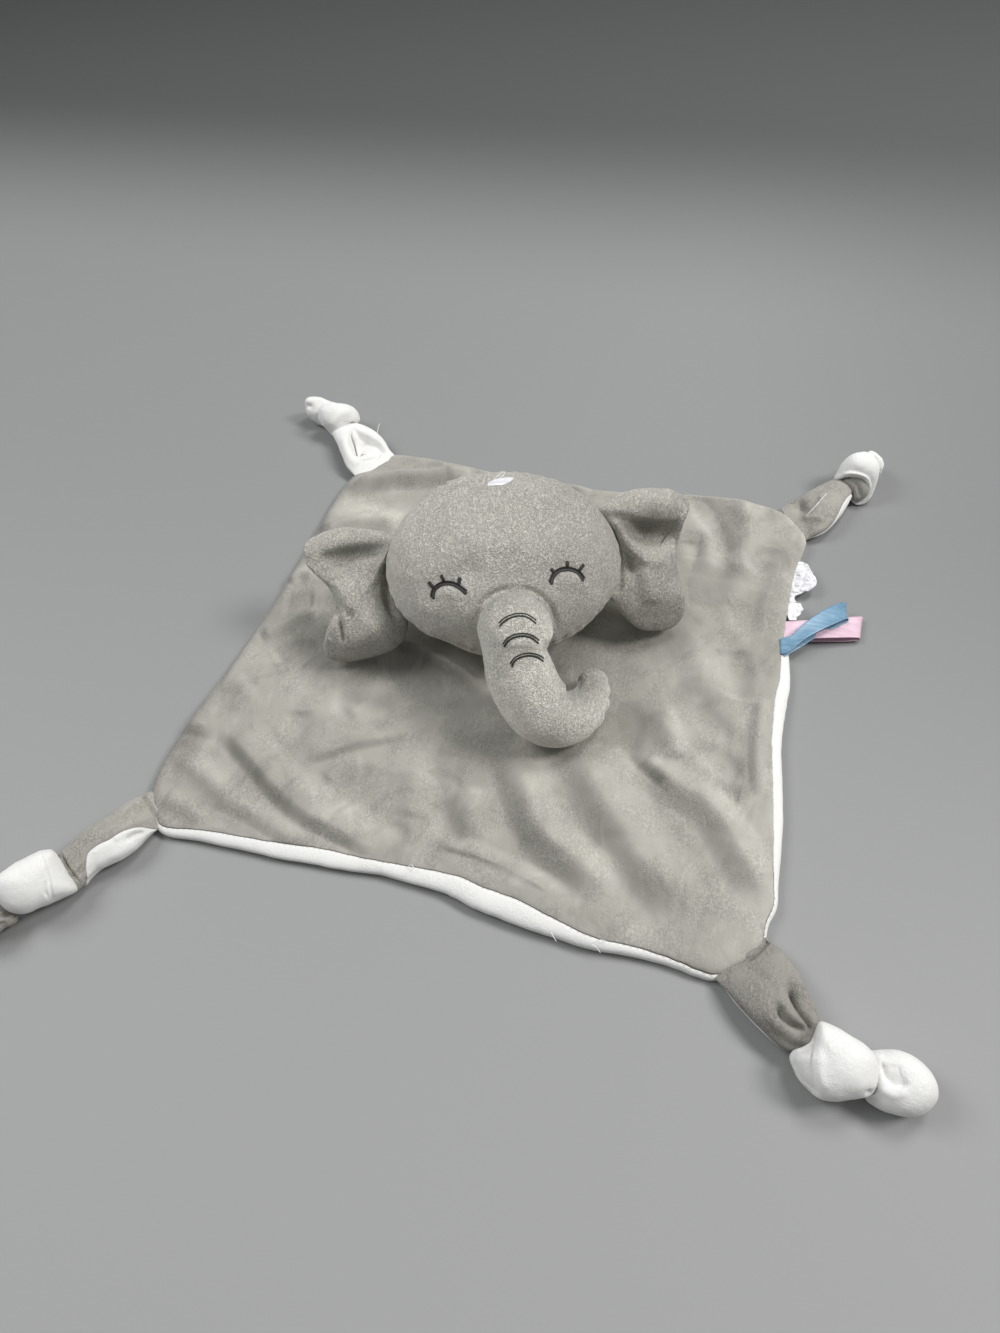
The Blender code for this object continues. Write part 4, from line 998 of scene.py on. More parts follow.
def build_ear(tag):
    side, outline, mid_px = EARS[tag]
    x = HR @ np.array([side * math.cos(DROOP), 0, -math.sin(DROOP)])
    y = HR @ np.array([0, math.cos(TWIST), math.sin(TWIST)])
    y = unit(y - x * (y @ x))
    nz = np.cross(x, y) if side > 0 else np.cross(y, x)
    root = world([side * 50.0, -3.0, 2.5])

    def place(px, py, lift):
        q = on_plane(px, py, root + nz * lift * MM, nz) - root
        return np.array([q @ x, q @ y, lift * MM]) / MM

    rim = np.array([place(*o) for o in outline])
    mid = place(*mid_px, 0.0)
    rim = spline(rim, 200, closed=True)
    M = 44
    t = (np.linspace(0, 1, M + 1)[1:]) ** 0.85
    T, J = np.meshgrid(t, np.arange(200), indexing="ij")
    uv = mid[:2] + (rim[J][..., :2] - mid[:2]) * T[..., None]
    base = rim[J][..., 2] * T ** 1.8
    u, v = uv[..., 0], uv[..., 1]
    au = np.abs(u)

    def spot(cu, cv, ru, rv, amp):
        return amp * np.exp(-((au - cu) / ru) ** 2 - ((v - cv) / rv) ** 2)

    inside = 1 - T ** 6
    if side > 0:
        base = base + (spot(17, 12, 9, 7, -4.5) + spot(27, 11, 10, 7, -6.5) + spot(7, -8, 4.5, 14, -2.5)
                       + spot(20, -17, 8, 10, 3.0) + spot(16, 24, 15, 5, 2.2)) * inside
    else:
        base = base + (spot(20, 8, 9, 8, -4.5) + spot(8, 2, 5, 14, -2.8) + spot(12, -22, 8, 8, 2.6)
                       + spot(18, 20, 15, 5, 2.4) + spot(22, -8, 4, 6, 1.4) + spot(27, -20, 2.2, 12, 1.0)) * inside
    thick = 4.3 * np.sqrt(np.clip(1 - T ** 3.2, 0, 1)) * (1 - 0.22 * np.exp(-((v - 2) / 12) ** 2))
    q3 = np.stack([u, v, base], -1)
    wob = 0.5 * fbm(q3.reshape(-1, 3) + side * 50, 15.0, 91, 3).reshape(u.shape) * (1 - T ** 8)
    grain = 0.05 * noise(q3.reshape(-1, 3), 1.6, 95).reshape(u.shape)
    rim_pucker = 0.22 * np.sin(J * 2 * math.pi / 200 * 31) * T ** 10 * (1 - T ** 60)
    front = np.stack([u, v, base + thick + wob + grain + rim_pucker], -1)
    back_s = np.stack([u, v, base - thick * 0.92 + wob * 0.6 - rim_pucker], -1)[:-1]
    pts = np.concatenate([front.reshape(-1, 3), back_s.reshape(-1, 3), [[*mid[:2], front[0, :, 2].mean()]],
                          [[*mid[:2], back_s[0, :, 2].mean()]]])
    w = root + (pts[:, :1] * x + pts[:, 1:2] * y + pts[:, 2:] * nz) * MM
    f = grid_faces(M, 200, wrap=True).tolist()
    b0 = M * 200
    f += grid_faces(M - 1, 200, wrap=True, start=b0, flip=True).tolist()
    j = np.arange(200); k = (j + 1) % 200
    f += np.stack([(M - 1) * 200 + j, b0 + (M - 2) * 200 + j, b0 + (M - 2) * 200 + k, (M - 1) * 200 + k], 1).tolist()
    c0 = b0 + (M - 1) * 200
    f += [[c0, int(a), int(b)] for a, b in zip(k, j)]
    f += [[c0 + 1, int(b0 + a), int(b0 + b)] for a, b in zip(j, k)]
    o = mesh_object(f"ear_{tag}_velour", w, f, M_EAR, f"ear_{tag}")
    carve(o, *EAR_STROKES[tag])
    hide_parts(f"ear_{tag}_front_ply", f"ear_{tag}_wadding", f"ear_{tag}_back_ply")
    return o


ear_r, ear_l = build_ear("right"), build_ear("left")

# ================================================================ embroidery
head_tree, trunk_tree = bvh_of(head), bvh_of(trunk)


def stitches(parts, tree, width, height=0.55, pitch=0.42):
    """Raised satin stitch along lines of picture points laid on a surface: a slim cord of slanted threads."""
    vs, fs, n = [], [], 0
    for line in parts:
        pts = spline(np.array(line, float), 60)
        hits = [cast(tree, x, y) for x, y in pts]
        hits = [h for h in hits if h]
        c = np.array([h[0] for h in hits])
        nr_ = np.array([h[1] for h in hits])
        for _ in range(6):
            nr_[1:-1] = unit(nr_[:-2] + nr_[1:-1] * 2 + nr_[2:])
            c[1:-1] = (c[:-2] + c[1:-1] * 2 + c[2:]) / 4
        length = np.linalg.norm(np.diff(c, axis=0), axis=1).sum() / MM
        m_ = max(12, int(length / pitch * 6))
        both = spline(np.c_[c, nr_], m_)
        c, nr_ = both[:, :3], unit(both[:, 3:])
        tan_ = unit(np.gradient(c, axis=0))
        sd = unit(np.cross(tan_, nr_))
        k = 14
        a = np.linspace(0, 2 * math.pi, k, endpoint=False)
        s = np.linspace(0, length, m_)
        end = np.sqrt(np.clip(1 - (1 - np.clip(np.minimum(s, length - s) / (width * 0.5), 0, 1)) ** 2, 0.01, 1))
        for i in range(m_):
            wave = 1 + 0.10 * np.sin(2 * math.pi * (s[i] / pitch) + 2.2 * np.cos(a))
            flat_ = np.stack([np.cos(a) * width / 2, np.sin(a) * height / 2 + height * 0.18], 1) * wave[:, None] * end[i]
            vs.append(c[i] + (flat_[:, :1] * sd[i] + flat_[:, 1:] * nr_[i]) * MM)
        f = grid_faces(m_, k, wrap=True, start=n).tolist()
        f += [[n + j for j in range(k)][::-1], [n + (m_ - 1) * k + j for j in range(k)]]
        fs += f
        n += m_ * k
    return np.concatenate(vs), fs


def double(line, gap, thick=1.2, thin=0.62):
    """An arc sewn twice: a broad row and a finer one a little outside it."""
    c = spline(np.array(line, float), 24)
    d = unit(np.gradient(c, axis=0))
    out = c + np.stack([d[:, 1], -d[:, 0]], 1) * gap
    return [(line, thick), ([tuple(q) for q in out[1:-1:3]], thin)]


def sewn(name, lines, tree, body, mat=None):
    vs, fs, n = [], [], 0
    for line, width in lines:
        v, f = stitches([line], tree, width, 0.6 if width > 1 else 0.45)
        vs.append(v)
        fs += [[x + n for x in face] for face in f]
        n += len(v)
    return mesh_object(name, np.concatenate(vs), fs, mat or M_CHARCOAL, body)


EYES = {
    "left": double([(433.3, 599.5), (434.2, 592.5), (437.5, 587.5), (443, 584.6), (449, 584), (455, 585.6), (460.5, 589.2), (467, 594)], 2.6, 1.55, 0.8)
    + [([(435.5, 589), (432, 586), (428.5, 581.5)], 1.6), ([(444.5, 582), (443, 579), (441, 574.5)], 1.5),
       ([(458, 585), (459.5, 581), (459.5, 577)], 1.6)],
    "right": double([(551.3, 585), (552.4, 579), (556, 573.6), (561, 570.6), (567, 569.8), (573, 570.8), (578.4, 574), (581.5, 578), (583.6, 581.5)], 2.6, 1.55, 0.8)
    + [([(555, 573.5), (553, 571), (550.5, 568.5)], 1.6), ([(567.6, 567.8), (567.4, 564.5), (567, 560.5)], 1.55),
       ([(578, 571.5), (580.5, 568.5), (584, 564)], 1.55)],
}
for tag, lines in EYES.items():
    o = sewn(f"eye_{tag}_embroidery", lines, head_tree, "head")
    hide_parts(f"eye_{tag}")
for k, line in enumerate((
        [(499.5, 626.5), (503, 622.5), (509, 618.6), (518, 616), (527, 617.2), (536, 623.6)],
        [(504, 647), (507.5, 641.8), (513, 638), (521, 636), (530.5, 637.4), (538.6, 643.6)],
        [(511.8, 667), (514.5, 661.5), (520, 657.6), (529, 655.6), (537.5, 657.4), (543.6, 661.6)])):
    o = sewn(f"trunk_wrinkle_{k + 1}_embroidery", double(line, 2.6, 0.78, 0.56), trunk_tree, "trunk")
    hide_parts(f"trunk_wrinkle_{k + 1}")

# ================================================================ crown patch
def leaf(outline, tree, thick, lift):
    """A small flat patch laid on a surface, its edge rounded."""
    rim = spline(np.array(outline, float), 60, closed=True)
    c2 = rim.mean(0)
    v = []
    for t in (1.0, 0.92, 0.75, 0.5, 0.25):
        for q in c2 + (rim - c2) * t:
            h = cast(tree, *q)
            e = math.sqrt(max(0.0, 1 - t ** 6))
            v.append(h[0] + h[1] * (lift + thick * e) * MM)
    h = cast(tree, *c2)
    v.append(h[0] + h[1] * (lift + thick) * MM)
    m = len(v)
    low = []
    for q in rim:
        h = cast(tree, *q)
        low.append(h[0] + h[1] * (lift - 0.2) * MM)
    h = cast(tree, *c2)
    v = v + low + [h[0] + h[1] * (lift - 0.3) * MM]
    f = grid_faces(5, 60, wrap=True).tolist()
    f += [[m - 1, 240 + j, 240 + (j + 1) % 60] for j in range(60)]
    f += [[j, (j + 1) % 60, m + (j + 1) % 60, m + j] for j in range(60)]
    f += [[m + 60, m + (j + 1) % 60, m + j] for j in range(60)]
    return np.array(v), f


v, f = leaf([(486.5, 484.2), (491, 481.2), (498, 479), (506, 478), (514, 477.8), (511, 481.4), (505, 484.8), (497, 486.2), (490, 486)],
            head_tree, 0.55, 0.15)
patch = mesh_object("crown_patch_tag", v, f, M_LABEL, "head")
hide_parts("crown_patch")


def strand(name, points, radius, mat, body):
    """A fine loose thread through world points (mm)."""
    c = spline(np.array(points, float), 40) * MM
    v, f = sweep(c, (0.3, -0.5, 0.8), lambda i: radius * MM * (0.35 if i in (0, 39) else 1.0)
                 * np.stack([np.cos(np.linspace(0, 2 * math.pi, 6, endpoint=False)), np.sin(np.linspace(0, 2 * math.pi, 6, endpoint=False))], 1))
    return mesh_object(name, v, f, mat, body)


def over(tree, px, py, lift):
    h = cast(tree, px, py)
    return (h[0] + h[1] * lift * MM) / MM


loop = [over(head_tree, *q) for q in ((493, 482, 0.4), (495.5, 480, 0.9), (498.5, 478.6, 1.5), (501.5, 477.6, 2.2), (504, 477.4, 2.3),
                                      (503.6, 478.4, 1.7), (501, 479.8, 1.1), (498.5, 481, 0.7))]
strand("crown_loop_thread", loop, 0.13, M_LINT, "head")

# ================================================================ corners
GREY, WHITE = M_STRIP, M_WHITE


def corner_strip(tag, left, right, half, turn, grey_first, strokes_first=(), strokes_second=(), **more):
    names = [f"corner_{tag}_upper_ply", f"corner_{tag}_lower_ply"]
    mats = (GREY, WHITE) if grey_first else (WHITE, GREY)
    plies, c = strip(names, left, right, half, turn, mats, None, **more)
    for ply, strokes, grey in zip(plies, (strokes_first, strokes_second), (grey_first, not grey_first)):
        if strokes:
            carve(ply, *strokes)
        m = ply.modifiers.new("ply", "SOLIDIFY")
        m.thickness, m.offset = 1.0 * MM, -1
        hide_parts(f"corner_{tag}_{'grey' if grey else 'white'}_ply")
        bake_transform(ply)
    return plies, c


def corner_ball(tag, kind, parts, mat, strokes, voxel=0.45, smoothing=4):
    body = f"corner_{tag}"
    def fuzz(co, no):
        return MM * (0.05 * noise(co / MM, 2.0, 301) + 0.14 * noise(co / MM, 7.5, 302))

    o = remeshed(f"corner_{tag}_{kind}_velour", parts, voxel * MM, mat, None, smoothing, fuzz)
    carve(o, *strokes)
    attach(o, body)
    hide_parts(f"corner_{tag}_{kind}")
    return o


# front right: grey tube pinched into two folds at the knot
FR_L = [(706, 969), (717, 981), (731, 997), (744, 1012), (757, 1026), (770, 1039.5), (783, 1049.5), (800, 1052), (818, 1056)]
FR_R = [(757, 930), (770, 941.5), (783, 952), (794, 966), (802, 982), (809, 998), (815, 1011), (822, 1026), (834, 1042)]
fr_plies, _ = corner_strip("front_right", FR_L, FR_R, [1.3, 2.7, 4.6, 5.4, 5.8, 5.8, 5.4, 5.0, 4.6], [7] * 9, True, [
    ("spot", (798, 996), (7, 15), -3.2, -28), ("line", [(790, 984), (797, 1000), (805, 1016), (815, 1035)], 3.4, -3.0),
    ("line", [(777, 1006), (783, 1018), (794, 1026), (810, 1031)], 2.6, -2.4),
    ("line", [(779, 998), (789, 1012), (803, 1025), (814, 1036)], 4.0, 1.4),
    ("line", [(762, 1012), (780, 1026), (804, 1039)], 6.0, 0.8), ("line", [(798, 972), (808, 992), (816, 1014)], 3.5, 0.8),
    ("cut", [(713, 968), (722, 964.5), (732, 962.5), (742, 958.5), (750, 958), (758, 951.5), (767, 942.5)], 2.0, -1.8), ("spot", (757, 972), (14, 9), -0.9)], (), seed=1)
fr_plies[0].data.materials[0] = M_STRIP_DARK
corner_ball("front_right", "knot", [blob(
    [(820, 1021.5), (832, 1025), (842, 1030), (852, 1036), (862, 1042), (870, 1049), (876, 1056), (878.5, 1066), (878, 1080),
     (875, 1090), (869, 1096), (861, 1098.5), (850, 1100), (838, 1102), (827, 1101.5), (817, 1098), (808, 1090), (799, 1080),
     (793, 1068), (789, 1058), (793, 1050), (803, 1046), (811, 1040), (815, 1030)], (836, 1064), 9.5, 9.5, 12.0, 2.4)], WHITE, [
    ("step", [(815, 1030), (811.5, 1046), (810, 1060), (811, 1074), (815, 1087), (822, 1099)], 2.2, -1.3, 40),
    ("line", [(814, 1036), (811, 1052), (810, 1066), (812, 1080)], 1.5, -0.55),
    ("line", [(824, 1028), (820, 1048), (820, 1072), (826, 1094)], 5.0, 0.45),
    ("spot", (848, 1064), (18, 24), 0.7), ("line", [(866, 1092), (873, 1094), (880, 1090)], 3.0, -1.2)])
corner_ball("front_right", "tail", [blob(
    [(868, 1054), (876, 1050.5), (886, 1049.5), (896, 1049.5), (905, 1052), (915, 1057), (925, 1065), (933, 1075), (938, 1086),
     (938.5, 1097), (935, 1105), (928, 1111.5), (918, 1116), (907, 1117), (895, 1115), (882, 1110.5), (873, 1105.5), (865, 1098),
     (866, 1080)], (903, 1083), 7.6, 8.6, 10.0, 2.5)], WHITE, [
    ("step", [(912, 1084), (902, 1088), (892, 1086), (884, 1079), (880, 1068), (881, 1058)], 4.0, -1.7, 16),
    ("line", [(877, 1076), (883, 1089), (895, 1095), (909, 1092)], 5.0, 0.6), ("line", [(872, 1070), (874, 1084), (870, 1096)], 3.2, -1.0)])

# front left: the tube lies rolled, grey above and white toward the viewer
FL_A = [(160, 787), (146, 795), (132, 801), (118, 811), (104, 821), (91, 829), (79, 839), (68, 850), (58, 858), (46, 866)]
FL_B = [(172, 827), (158, 829.5), (147, 836.5), (136, 847), (121, 857.5), (108, 863.5), (97, 870), (89, 877.5), (82, 886), (68, 893)]
corner_strip("front_left", FL_A, FL_B, [1.7, 2.9, 5.0, 6.0, 6.4, 6.4, 6.0, 5.6, 5.4, 5.0],
             [-6, 2, 44, 64, 70, 70, 62, 16, -44, -70], True, [
    ("cut", [(143, 794), (147, 801), (152, 808), (157, 817), (160, 827)], 1.8, -1.6),
    ("line", [(150, 804), (128, 816), (104, 832), (82, 848)], 3.0, -0.7), ("line", [(146, 799), (120, 813), (96, 829), (74, 848)], 3.0, 0.6),
    ("line", [(154, 818), (130, 825), (108, 838)], 3.4, 0.8), ("step", [(60, 850), (66, 862), (74, 874), (83, 884)], 2.0, -1.2, 10)],
    [("line", [(145, 832), (134, 835), (126, 841)], 2.2, -1.8), ("line", [(140, 829), (124, 833), (112, 841)], 2.6, 0.9),
     ("line", [(138, 843), (118, 855), (96, 868)], 5.0, 0.6)], seed=2, end_gather=1.0)
bit = corner_ball("front_left", "knot", [blob(
    [(53, 850.5), (46, 850), (40, 851), (32, 854.5), (24, 858.5), (15, 863), (7, 868.5), (-2, 875), (-8, 884), (-6, 895), (0, 904),
     (8, 911), (15, 913.3), (23, 913.8), (31, 912), (39, 908), (48, 905), (57, 901), (66, 897), (74, 893), (77.5, 888),
     (72, 880), (66, 871), (60, 861)], (38, 883), 10.5, 9.5, 13.5, 2.6)], WHITE, [
    ("step", [(41, 850), (44.5, 862), (48, 872), (51.5, 884), (53, 900)][::-1], 2.2, 0.9, 60),
    ("line", [(42, 856), (47, 870), (50, 884), (51, 896)], 1.6, -0.5),
    ("line", [(46, 880), (45, 890), (48, 898)], 1.4, -0.6), ("line", [(57, 856), (66, 868), (75, 884)], 3.0, 0.5),
    ("spot", (20, 884), (18, 14), 0.7)])
corner_ball("front_left", "tail", [blob(
    [(6, 905), (14, 911), (19, 916), (17, 922), (11, 926), (4, 929), (-5, 937), (-17, 944), (-30, 944), (-38, 936), (-38, 923), (-30, 912),
     (-18, 904), (-5, 901)], (-9, 922), 7.0, 7.0, 8.0, 2.4)], GREY, [
    ("line", [(14, 914), (0, 916), (-14, 922)], 2.4, -1.2), ("line", [(8, 922), (-6, 928), (-20, 934)], 2.4, -0.9)])

# back left: white tube fallen open toward the viewer
BL_A = [(362, 484), (353, 475), (346, 467), (341, 455), (337, 445), (333, 437), (328, 428), (322, 421)]
BL_B = [(402, 462), (391, 452), (385, 442.5), (377, 434.5), (368, 429.5), (360, 426.5), (354, 420), (346, 411)]
corner_strip("back_left", BL_A, BL_B, [2.2, 3.8, 5.2, 6.0, 5.8, 5.0, 3.8, 3.0], [-2] * 8, False, [
    ("spot", (364, 442), (13, 9), -7.0, 32), ("cut", [(349.5, 430), (350.5, 438), (352.5, 446), (356, 452)], 1.5, -4.5),
    ("step", [(352, 426.5), (362, 430.5), (372, 435.5), (380, 441.5), (385, 449), (386, 454)], 1.8, -4.2, 12),
    ("step", [(362, 456), (355, 452.5), (351, 445), (349.6, 437), (349.6, 430)], 1.8, -5.0, 9),
    ("line", [(344, 434), (346, 446), (351, 458), (360, 466)], 4.5, 1.2), ("spot", (359, 443), (5, 5), -1.6),
    ("cut", [(364, 459.5), (369, 459), (374, 457), (379, 454)], 1.6, -1.8)], (), seed=3, root_gather=0.3, end_gather=0.4)
corner_ball("back_left", "knot", [blob(
    [(330, 402), (337, 403), (344, 403.8), (350, 405.5), (355.5, 409), (359, 414), (360, 420), (358, 424), (352, 427), (349, 433),
     (343, 439), (337, 441), (333, 437), (327, 430), (321, 424), (318, 416), (320, 407)], (340, 420), 9.5, 8.0, 11.0, 2.3)], WHITE, [
    ("spot", (353, 424), (4, 3), -0.8), ("line", [(352, 410), (340, 416), (332, 428)], 4.5, 0.7), ("line", [(345, 436), (349, 428), (356, 423)], 2.0, -0.8)])
corner_ball("back_left", "tail", [blob(
    [(305, 401.5), (308, 397.5), (314, 396.6), (321, 397.4), (327, 400), (334, 403.5), (336, 412), (331, 424), (325, 427.5), (318, 424.5),
     (311, 419), (306.5, 412.5)], (320, 410), 8.0, 5.5, 8.0, 2.3)], WHITE, [
    ("spot", (309, 406), (3.4, 3.0), -1.4), ("line", [(320, 399), (321, 408), (319, 419)], 2.4, -0.7)])

# back right: grey tube with a white lower lip; its knot is a hood open toward the viewer
BR_A = [(780, 509), (791, 503), (802, 497), (812, 491), (822, 486), (831, 481.8), (838, 479.4), (844, 481), (850, 487)]
BR_B = [(797, 545), (809, 538.5), (818, 535), (827, 530), (834, 523.5), (841, 515), (846, 508), (850, 501), (852.5, 496)]
corner_strip("back_right", BR_A, BR_B, [1.8, 2.8, 4.4, 5.2, 5.4, 5.2, 4.8, 4.2, 3.4], [-6, -5, -4, -3, 8, 38, 48, 42, 26], True, [
    ("spot", (801, 508), (8, 5), -3.0, 35), ("line", [(795, 504), (808, 503), (822, 498)], 5.0, -1.6),
    ("line", [(803, 521), (812, 511), (824, 497)], 3.0, 1.6), ("line", [(803, 520), (813, 517.5), (824, 519)], 2.2, 0.8),
    ("line", [(812, 526), (822, 523), (832, 514)], 3.4, -0.8), ("line", [(828, 486), (840, 483), (849, 490)], 2.4, 0.7)],
    (), seed=4, root_gather=0.3, end_gather=0.3)
lining = remeshed("corner_back_right_lining_velour", [blob(
    [(843, 480), (848, 477), (855, 475.5), (862, 477), (868, 481), (870, 487), (868.5, 494), (864, 499), (857, 502.5), (852, 499), (849, 492), (846, 486)],
    (858, 488), 7.6, 4.6, 6.0, 2.4)], 0.45 * MM, M_STRIP, None, 4)
carve(lining, ("line", [(852, 480), (858, 488), (860, 498)], 2.4, -0.7), ("spot", (850, 495), (4, 4), -1.2))
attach(lining, "corner_back_right")
corner_ball("back_right", "knot", [blob(
    [(834, 480), (836.5, 473), (840, 466), (844, 460.5), (849, 456), (855, 453), (861, 451.8), (867, 452), (873, 455), (877, 460),
     (879.5, 467), (878.5, 476), (876, 485), (873, 493), (869, 500), (864, 504), (856, 506), (851, 500), (850, 491), (843, 484)],
    (858, 476), 11.0, 7.5, 12.0, 2.4)], WHITE, [
    ("spot", (858, 490), (11.5, 11), -8.5), ("spot", (846, 484), (5, 5), -4.0),
    ("line", [(840, 477), (848, 474), (857, 474.5), (866, 478), (870.5, 486), (869.5, 495)], 2.0, 1.5), ("spot", (858, 464), (10, 7), 0.8)])
corner_ball("back_right", "tail", [blob(
    [(868, 452), (872, 451), (877, 453.5), (881.5, 458), (883.5, 463), (883, 468), (880.5, 474), (876, 474), (870, 467), (866, 458)],
    (876, 463), 12.0, 4.0, 12.0, 2.2)], WHITE, [("spot", (875.6, 459.6), (2.6, 3.0), -4.5), ("line", [(879, 456), (882, 464), (880, 471)], 1.6, 0.7)], 0.4)

# ================================================================ ribbons and care label
def ribbon(name, edge1, edge2, mat, node, thick=0.32, n=90, k=14, swell=0.25):
    """A satin ribbon folded into a flat loop, given by its two long edges: (x, y in the frame, height mm)."""
    e1 = spline(np.array([level(*q) for q in edge1]), n)
    e2 = spline(np.array([level(*q) for q in edge2]), n)
    t = np.linspace(0, 1, k)
    P = e1[:, None] * (1 - t)[None, :, None] + e2[:, None] * t[None, :, None]
    nrm = unit(np.cross(np.gradient(P, axis=0), np.gradient(P, axis=1)))
    bow = swell * np.sin(math.pi * t)[None, :, None] + 0.12 * noise(P.reshape(-1, 3) / MM, 5.0, 402).reshape(n, k, 1)
    P = P + nrm * bow * MM
    o = mesh_object(name, P.reshape(-1, 3), grid_faces(n, k), mat, "ribbons", outward=nrm.reshape(-1, 3))
    m = o.modifiers.new("ply", "SOLIDIFY")
    m.thickness, m.offset = thick * MM, 0
    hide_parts(node)
    return o


pink = ribbon("ribbon_pink_satin",
              [(784, 621.5, 4.4), (800, 620.6, 4.9), (820, 619.4, 4.8), (840, 617.6, 4.4), (856, 616.8, 3.8), (861.5, 616.8, 3.2),
               (862.6, 617.4, 2.4), (861, 618.4, 1.5), (850, 619.5, 1.1), (830, 621, 1.0), (805, 623, 1.5), (784, 625, 2.4)],
              [(784, 638.5, 4.4), (800, 638.5, 4.7), (820, 638.2, 4.6), (840, 637.8, 4.2), (853, 637.6, 3.7), (858.4, 638.0, 3.1),
               (859.8, 638.8, 2.3), (858.6, 640.6, 1.3), (848, 641.4, 1.0), (830, 641.6, 1.0), (806, 641.6, 1.4), (784, 642, 2.4)],
              M_PINK, "ribbon_pink")
blue = ribbon("ribbon_blue_satin",
              [(780, 639, 5.6), (786, 637, 6.4), (791, 635.5, 7.0), (800, 627.4, 8.0), (810, 619, 8.6), (822, 611, 8.6), (834, 605, 8.0),
               (842, 602.4, 7.0), (845.6, 602.8, 6.0), (845.8, 605, 5.0), (838, 609, 4.6), (822, 617, 4.8), (806, 629, 5.0), (792, 640, 5.0), (780, 645, 4.8)],
              [(780, 654, 5.0), (786, 653.4, 5.8), (792, 649.4, 6.6), (800, 642.6, 7.6), (809, 636.4, 8.4), (820, 630.6, 8.4), (832, 625, 8.0),
               (842, 620.8, 7.0), (847.4, 618.8, 6.0), (848.2, 621, 4.8), (841, 625.4, 4.2), (828, 631.6, 4.2), (814, 639, 4.4), (800, 648, 4.6), (784, 657, 4.6)],
              M_BLUE, "ribbon_blue")

# the care label: bare crumpled satin that shows in two places past the edge
n_l, k_l = 110, 40
tl = np.linspace(0, 1, n_l)
root_l = np.array([level(*q) for q in ((790, 620, 3.6), (788.5, 614, 3.6), (788, 606, 3.6), (788, 597, 3.0), (788.5, 586, 3.2), (789, 577, 3.8), (793, 568, 4.2), (798, 561, 4.2))])
tip_l = np.array([level(*q) for q in ((795, 620.5, 3.4), (799.5, 615, 4.2), (802.5, 608, 4.4), (793.5, 599, 2.6), (801, 594, 3.0), (813, 589, 4.8), (816, 579, 5.4), (805, 563, 4.8))])
ra, ta = spline(root_l, n_l), spline(tip_l, n_l)
uu = np.linspace(-0.15, 1, k_l)
P = ra[:, None] * (1 - uu)[None, :, None] + ta[:, None] * uu[None, :, None]
q3 = P.reshape(-1, 3) / MM
fold_l = np.abs(noise(q3, 3.4, 410)) * 1.7 + np.abs(noise(q3, 1.7, 411)) * 0.9
P = P + ((fold_l.reshape(n_l, k_l, 1) - 0.5) * MM * np.clip(uu + 0.15, 0, 1)[None, :, None] ** 0.5) * unit(np.array([0.25, -0.35, 1.0]))
P = P + (np.stack([noise(q3, 2.2, 412), noise(q3, 2.2, 413), noise(q3, 2.2, 414)], 1).reshape(n_l, k_l, 3)) * 0.5 * MM * np.clip(uu, 0, 1)[None, :, None]
label = mesh_object("care_label_satin", P.reshape(-1, 3), grid_faces(n_l, k_l), M_LABEL, "label", outward=(0, 0, 1))
m = label.modifiers.new("ply", "SOLIDIFY")
m.thickness, m.offset = 0.3 * MM, 0
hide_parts("care_label")

# ================================================================ loose threads
back_tree, top_tree = bvh_of(backing), bvh_of(top)


def lint(name, pts, body="blanket", radius=0.13):
    strand(name, [tuple(level(x, y, z) / MM) for x, y, z in pts], radius, M_LINT, body)


lint("loose_thread_1", [(551, 932, 6.8), (553.5, 937, 6.6), (556.5, 941.5, 5.4)])
lint("loose_thread_2", [(592, 944.5, 5.6), (597, 948, 5.4), (600.5, 953, 4.2)])
lint("loose_thread_3", [(596, 941.5, 6.6), (601, 940, 7.2), (607, 941.5, 6.8)])
lint("loose_thread_4", [(408, 866, 6.6), (411.5, 865, 7.6), (413.5, 868, 7.2), (412, 870.5, 6.8)])
lint("loose_thread_5", [(377, 434, 8.0), (378, 429, 9.6), (379.5, 423.5, 11.0)], "corner_back_left", 0.16)
lint("loose_thread_6", [(803.5, 519, 6.6), (809, 513, 9.6), (816, 505.5, 12.0), (822, 498.5, 12.6), (827, 493.5, 12.2)], "corner_back_right", 0.16)

# ================================================================ floor and light
bm = bmesh.new()
bmesh.ops.create_grid(bm, x_segments=2, y_segments=2, size=3.0)
mesh = bpy.data.meshes.new("floor")
bm.to_mesh(mesh)
bm.free()
floor = bpy.data.objects.new("floor", mesh)
floor.location.z = -0.0003
bpy.context.scene.collection.objects.link(floor)
s = Nodes("floor_matt")
xyz = s.add("ShaderNodeSeparateXYZ")
s.link(s.coord, xyz.inputs[0])
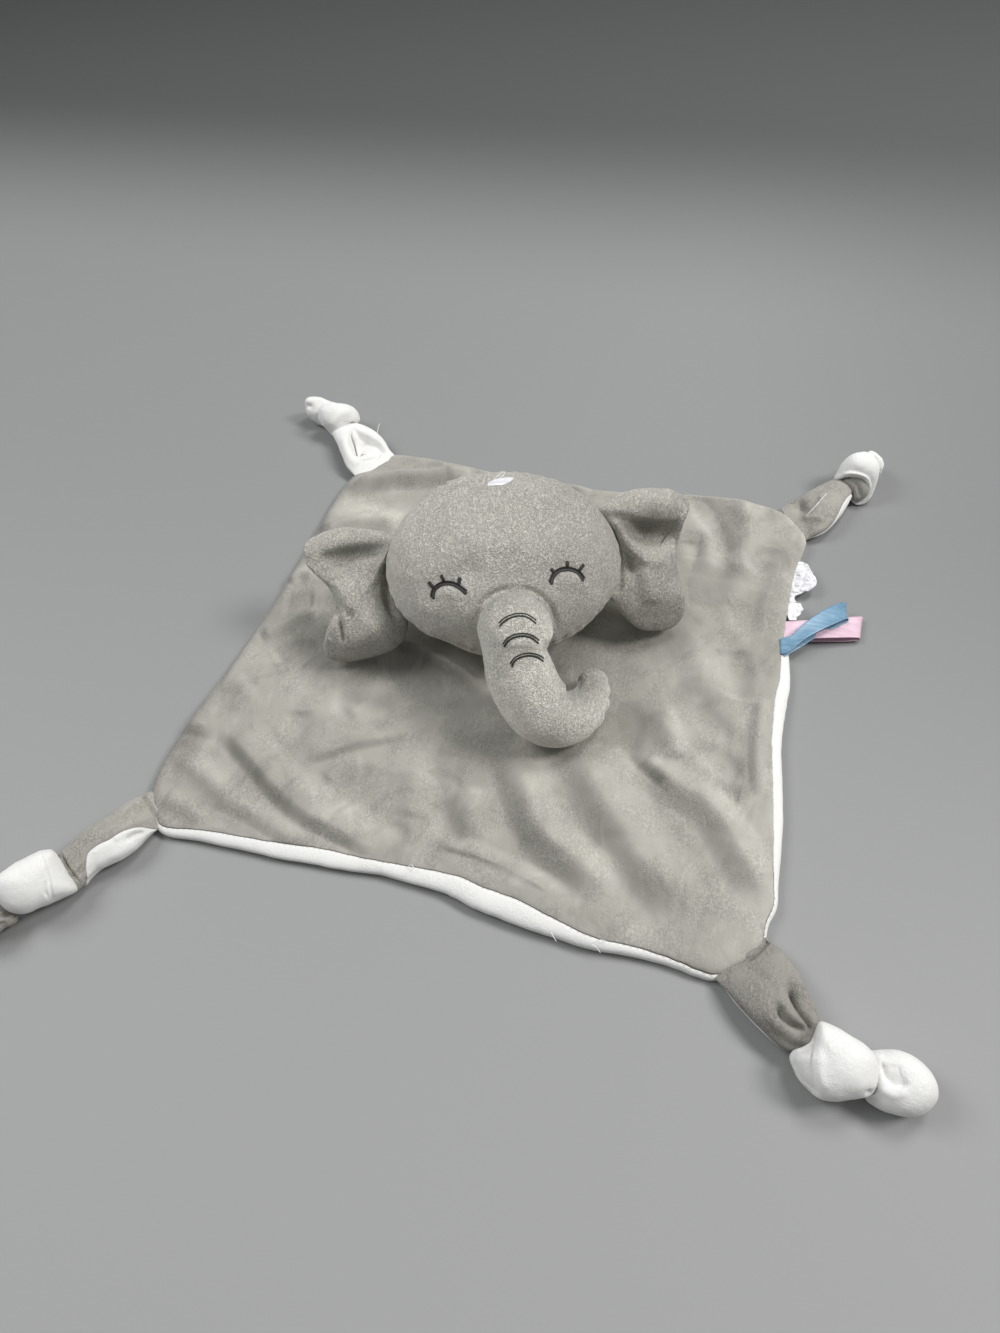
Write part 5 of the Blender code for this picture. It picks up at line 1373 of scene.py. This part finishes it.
# painted shade on the floor: darker toward the back, much darker far behind in place of light falling off, and darker
# at the back right
far = s.spread(xyz.outputs["Y"], 0.30, 0.66)
near = s.spread(xyz.outputs["Y"], -0.34, 0.14)
tone = s.mix(near, (0.340, 0.344, 0.343), (0.268, 0.273, 0.273))
side = s.math("MULTIPLY", s.spread(xyz.outputs["X"], 0.02, 0.30), s.spread(xyz.outputs["Y"], -0.15, 0.15))
tone = s.mix(s.math("MULTIPLY", side, 0.22), tone, (0.0, 0.0, 0.0))
s.link(s.mix(far, tone, (0.105, 0.111, 0.110)), s.bsdf.inputs["Base Color"])
s.link(s.bump(s.noise(260.0, 3.0), 0.0002, 0.15), s.bsdf.inputs["Normal"])
s.set(Roughness=0.6, Specular_IOR_Level=0.2)
floor.data.materials.append(s.mat)


def area(name, at, aim, size, power, colour=(1, 1, 1)):
    l = bpy.data.lights.new(name, "AREA")
    l.shape, l.size, l.size_y, l.energy, l.color = "RECTANGLE", size[0], size[1], power, colour
    o = bpy.data.objects.new(name, l)
    o.location = at
    o.rotation_euler = (Vector(aim) - Vector(at)).to_track_quat("-Z", "Y").to_euler()
    bpy.context.scene.collection.objects.link(o)


def softbox(name, azimuth, elevation, size, power, colour=(1, 1, 1)):
    a, e = math.radians(azimuth), math.radians(elevation)
    area(name, np.array([math.sin(a) * math.cos(e), math.cos(a) * math.cos(e), math.sin(e)]) * 1.6, (0, 0, 0), (size, size), power, colour)


softbox("right_light", 76, 46, 0.42, 13.6, (1.0, 0.995, 0.975))
softbox("back_light", 30, 60, 0.5, 10.2)
softbox("left_light", -92, 48, 0.7, 11.2, (0.985, 0.99, 1.0))
softbox("front_light", 180, 62, 1.0, 1.4)
wd = bpy.data.worlds.new("studio")
wd.use_nodes = True
wd.node_tree.nodes["Background"].inputs["Color"].default_value = (0.985, 0.99, 1.0, 1)
wd.node_tree.nodes["Background"].inputs["Strength"].default_value = 0.18
bpy.context.scene.world = wd
bpy.context.scene.view_settings.view_transform = "Standard"
bpy.context.scene.view_settings.look = "None"

ring = bpy.data.objects["neck_stitch_ring"]
ring.data.materials.clear()
ring.data.materials.append(M_PALE)
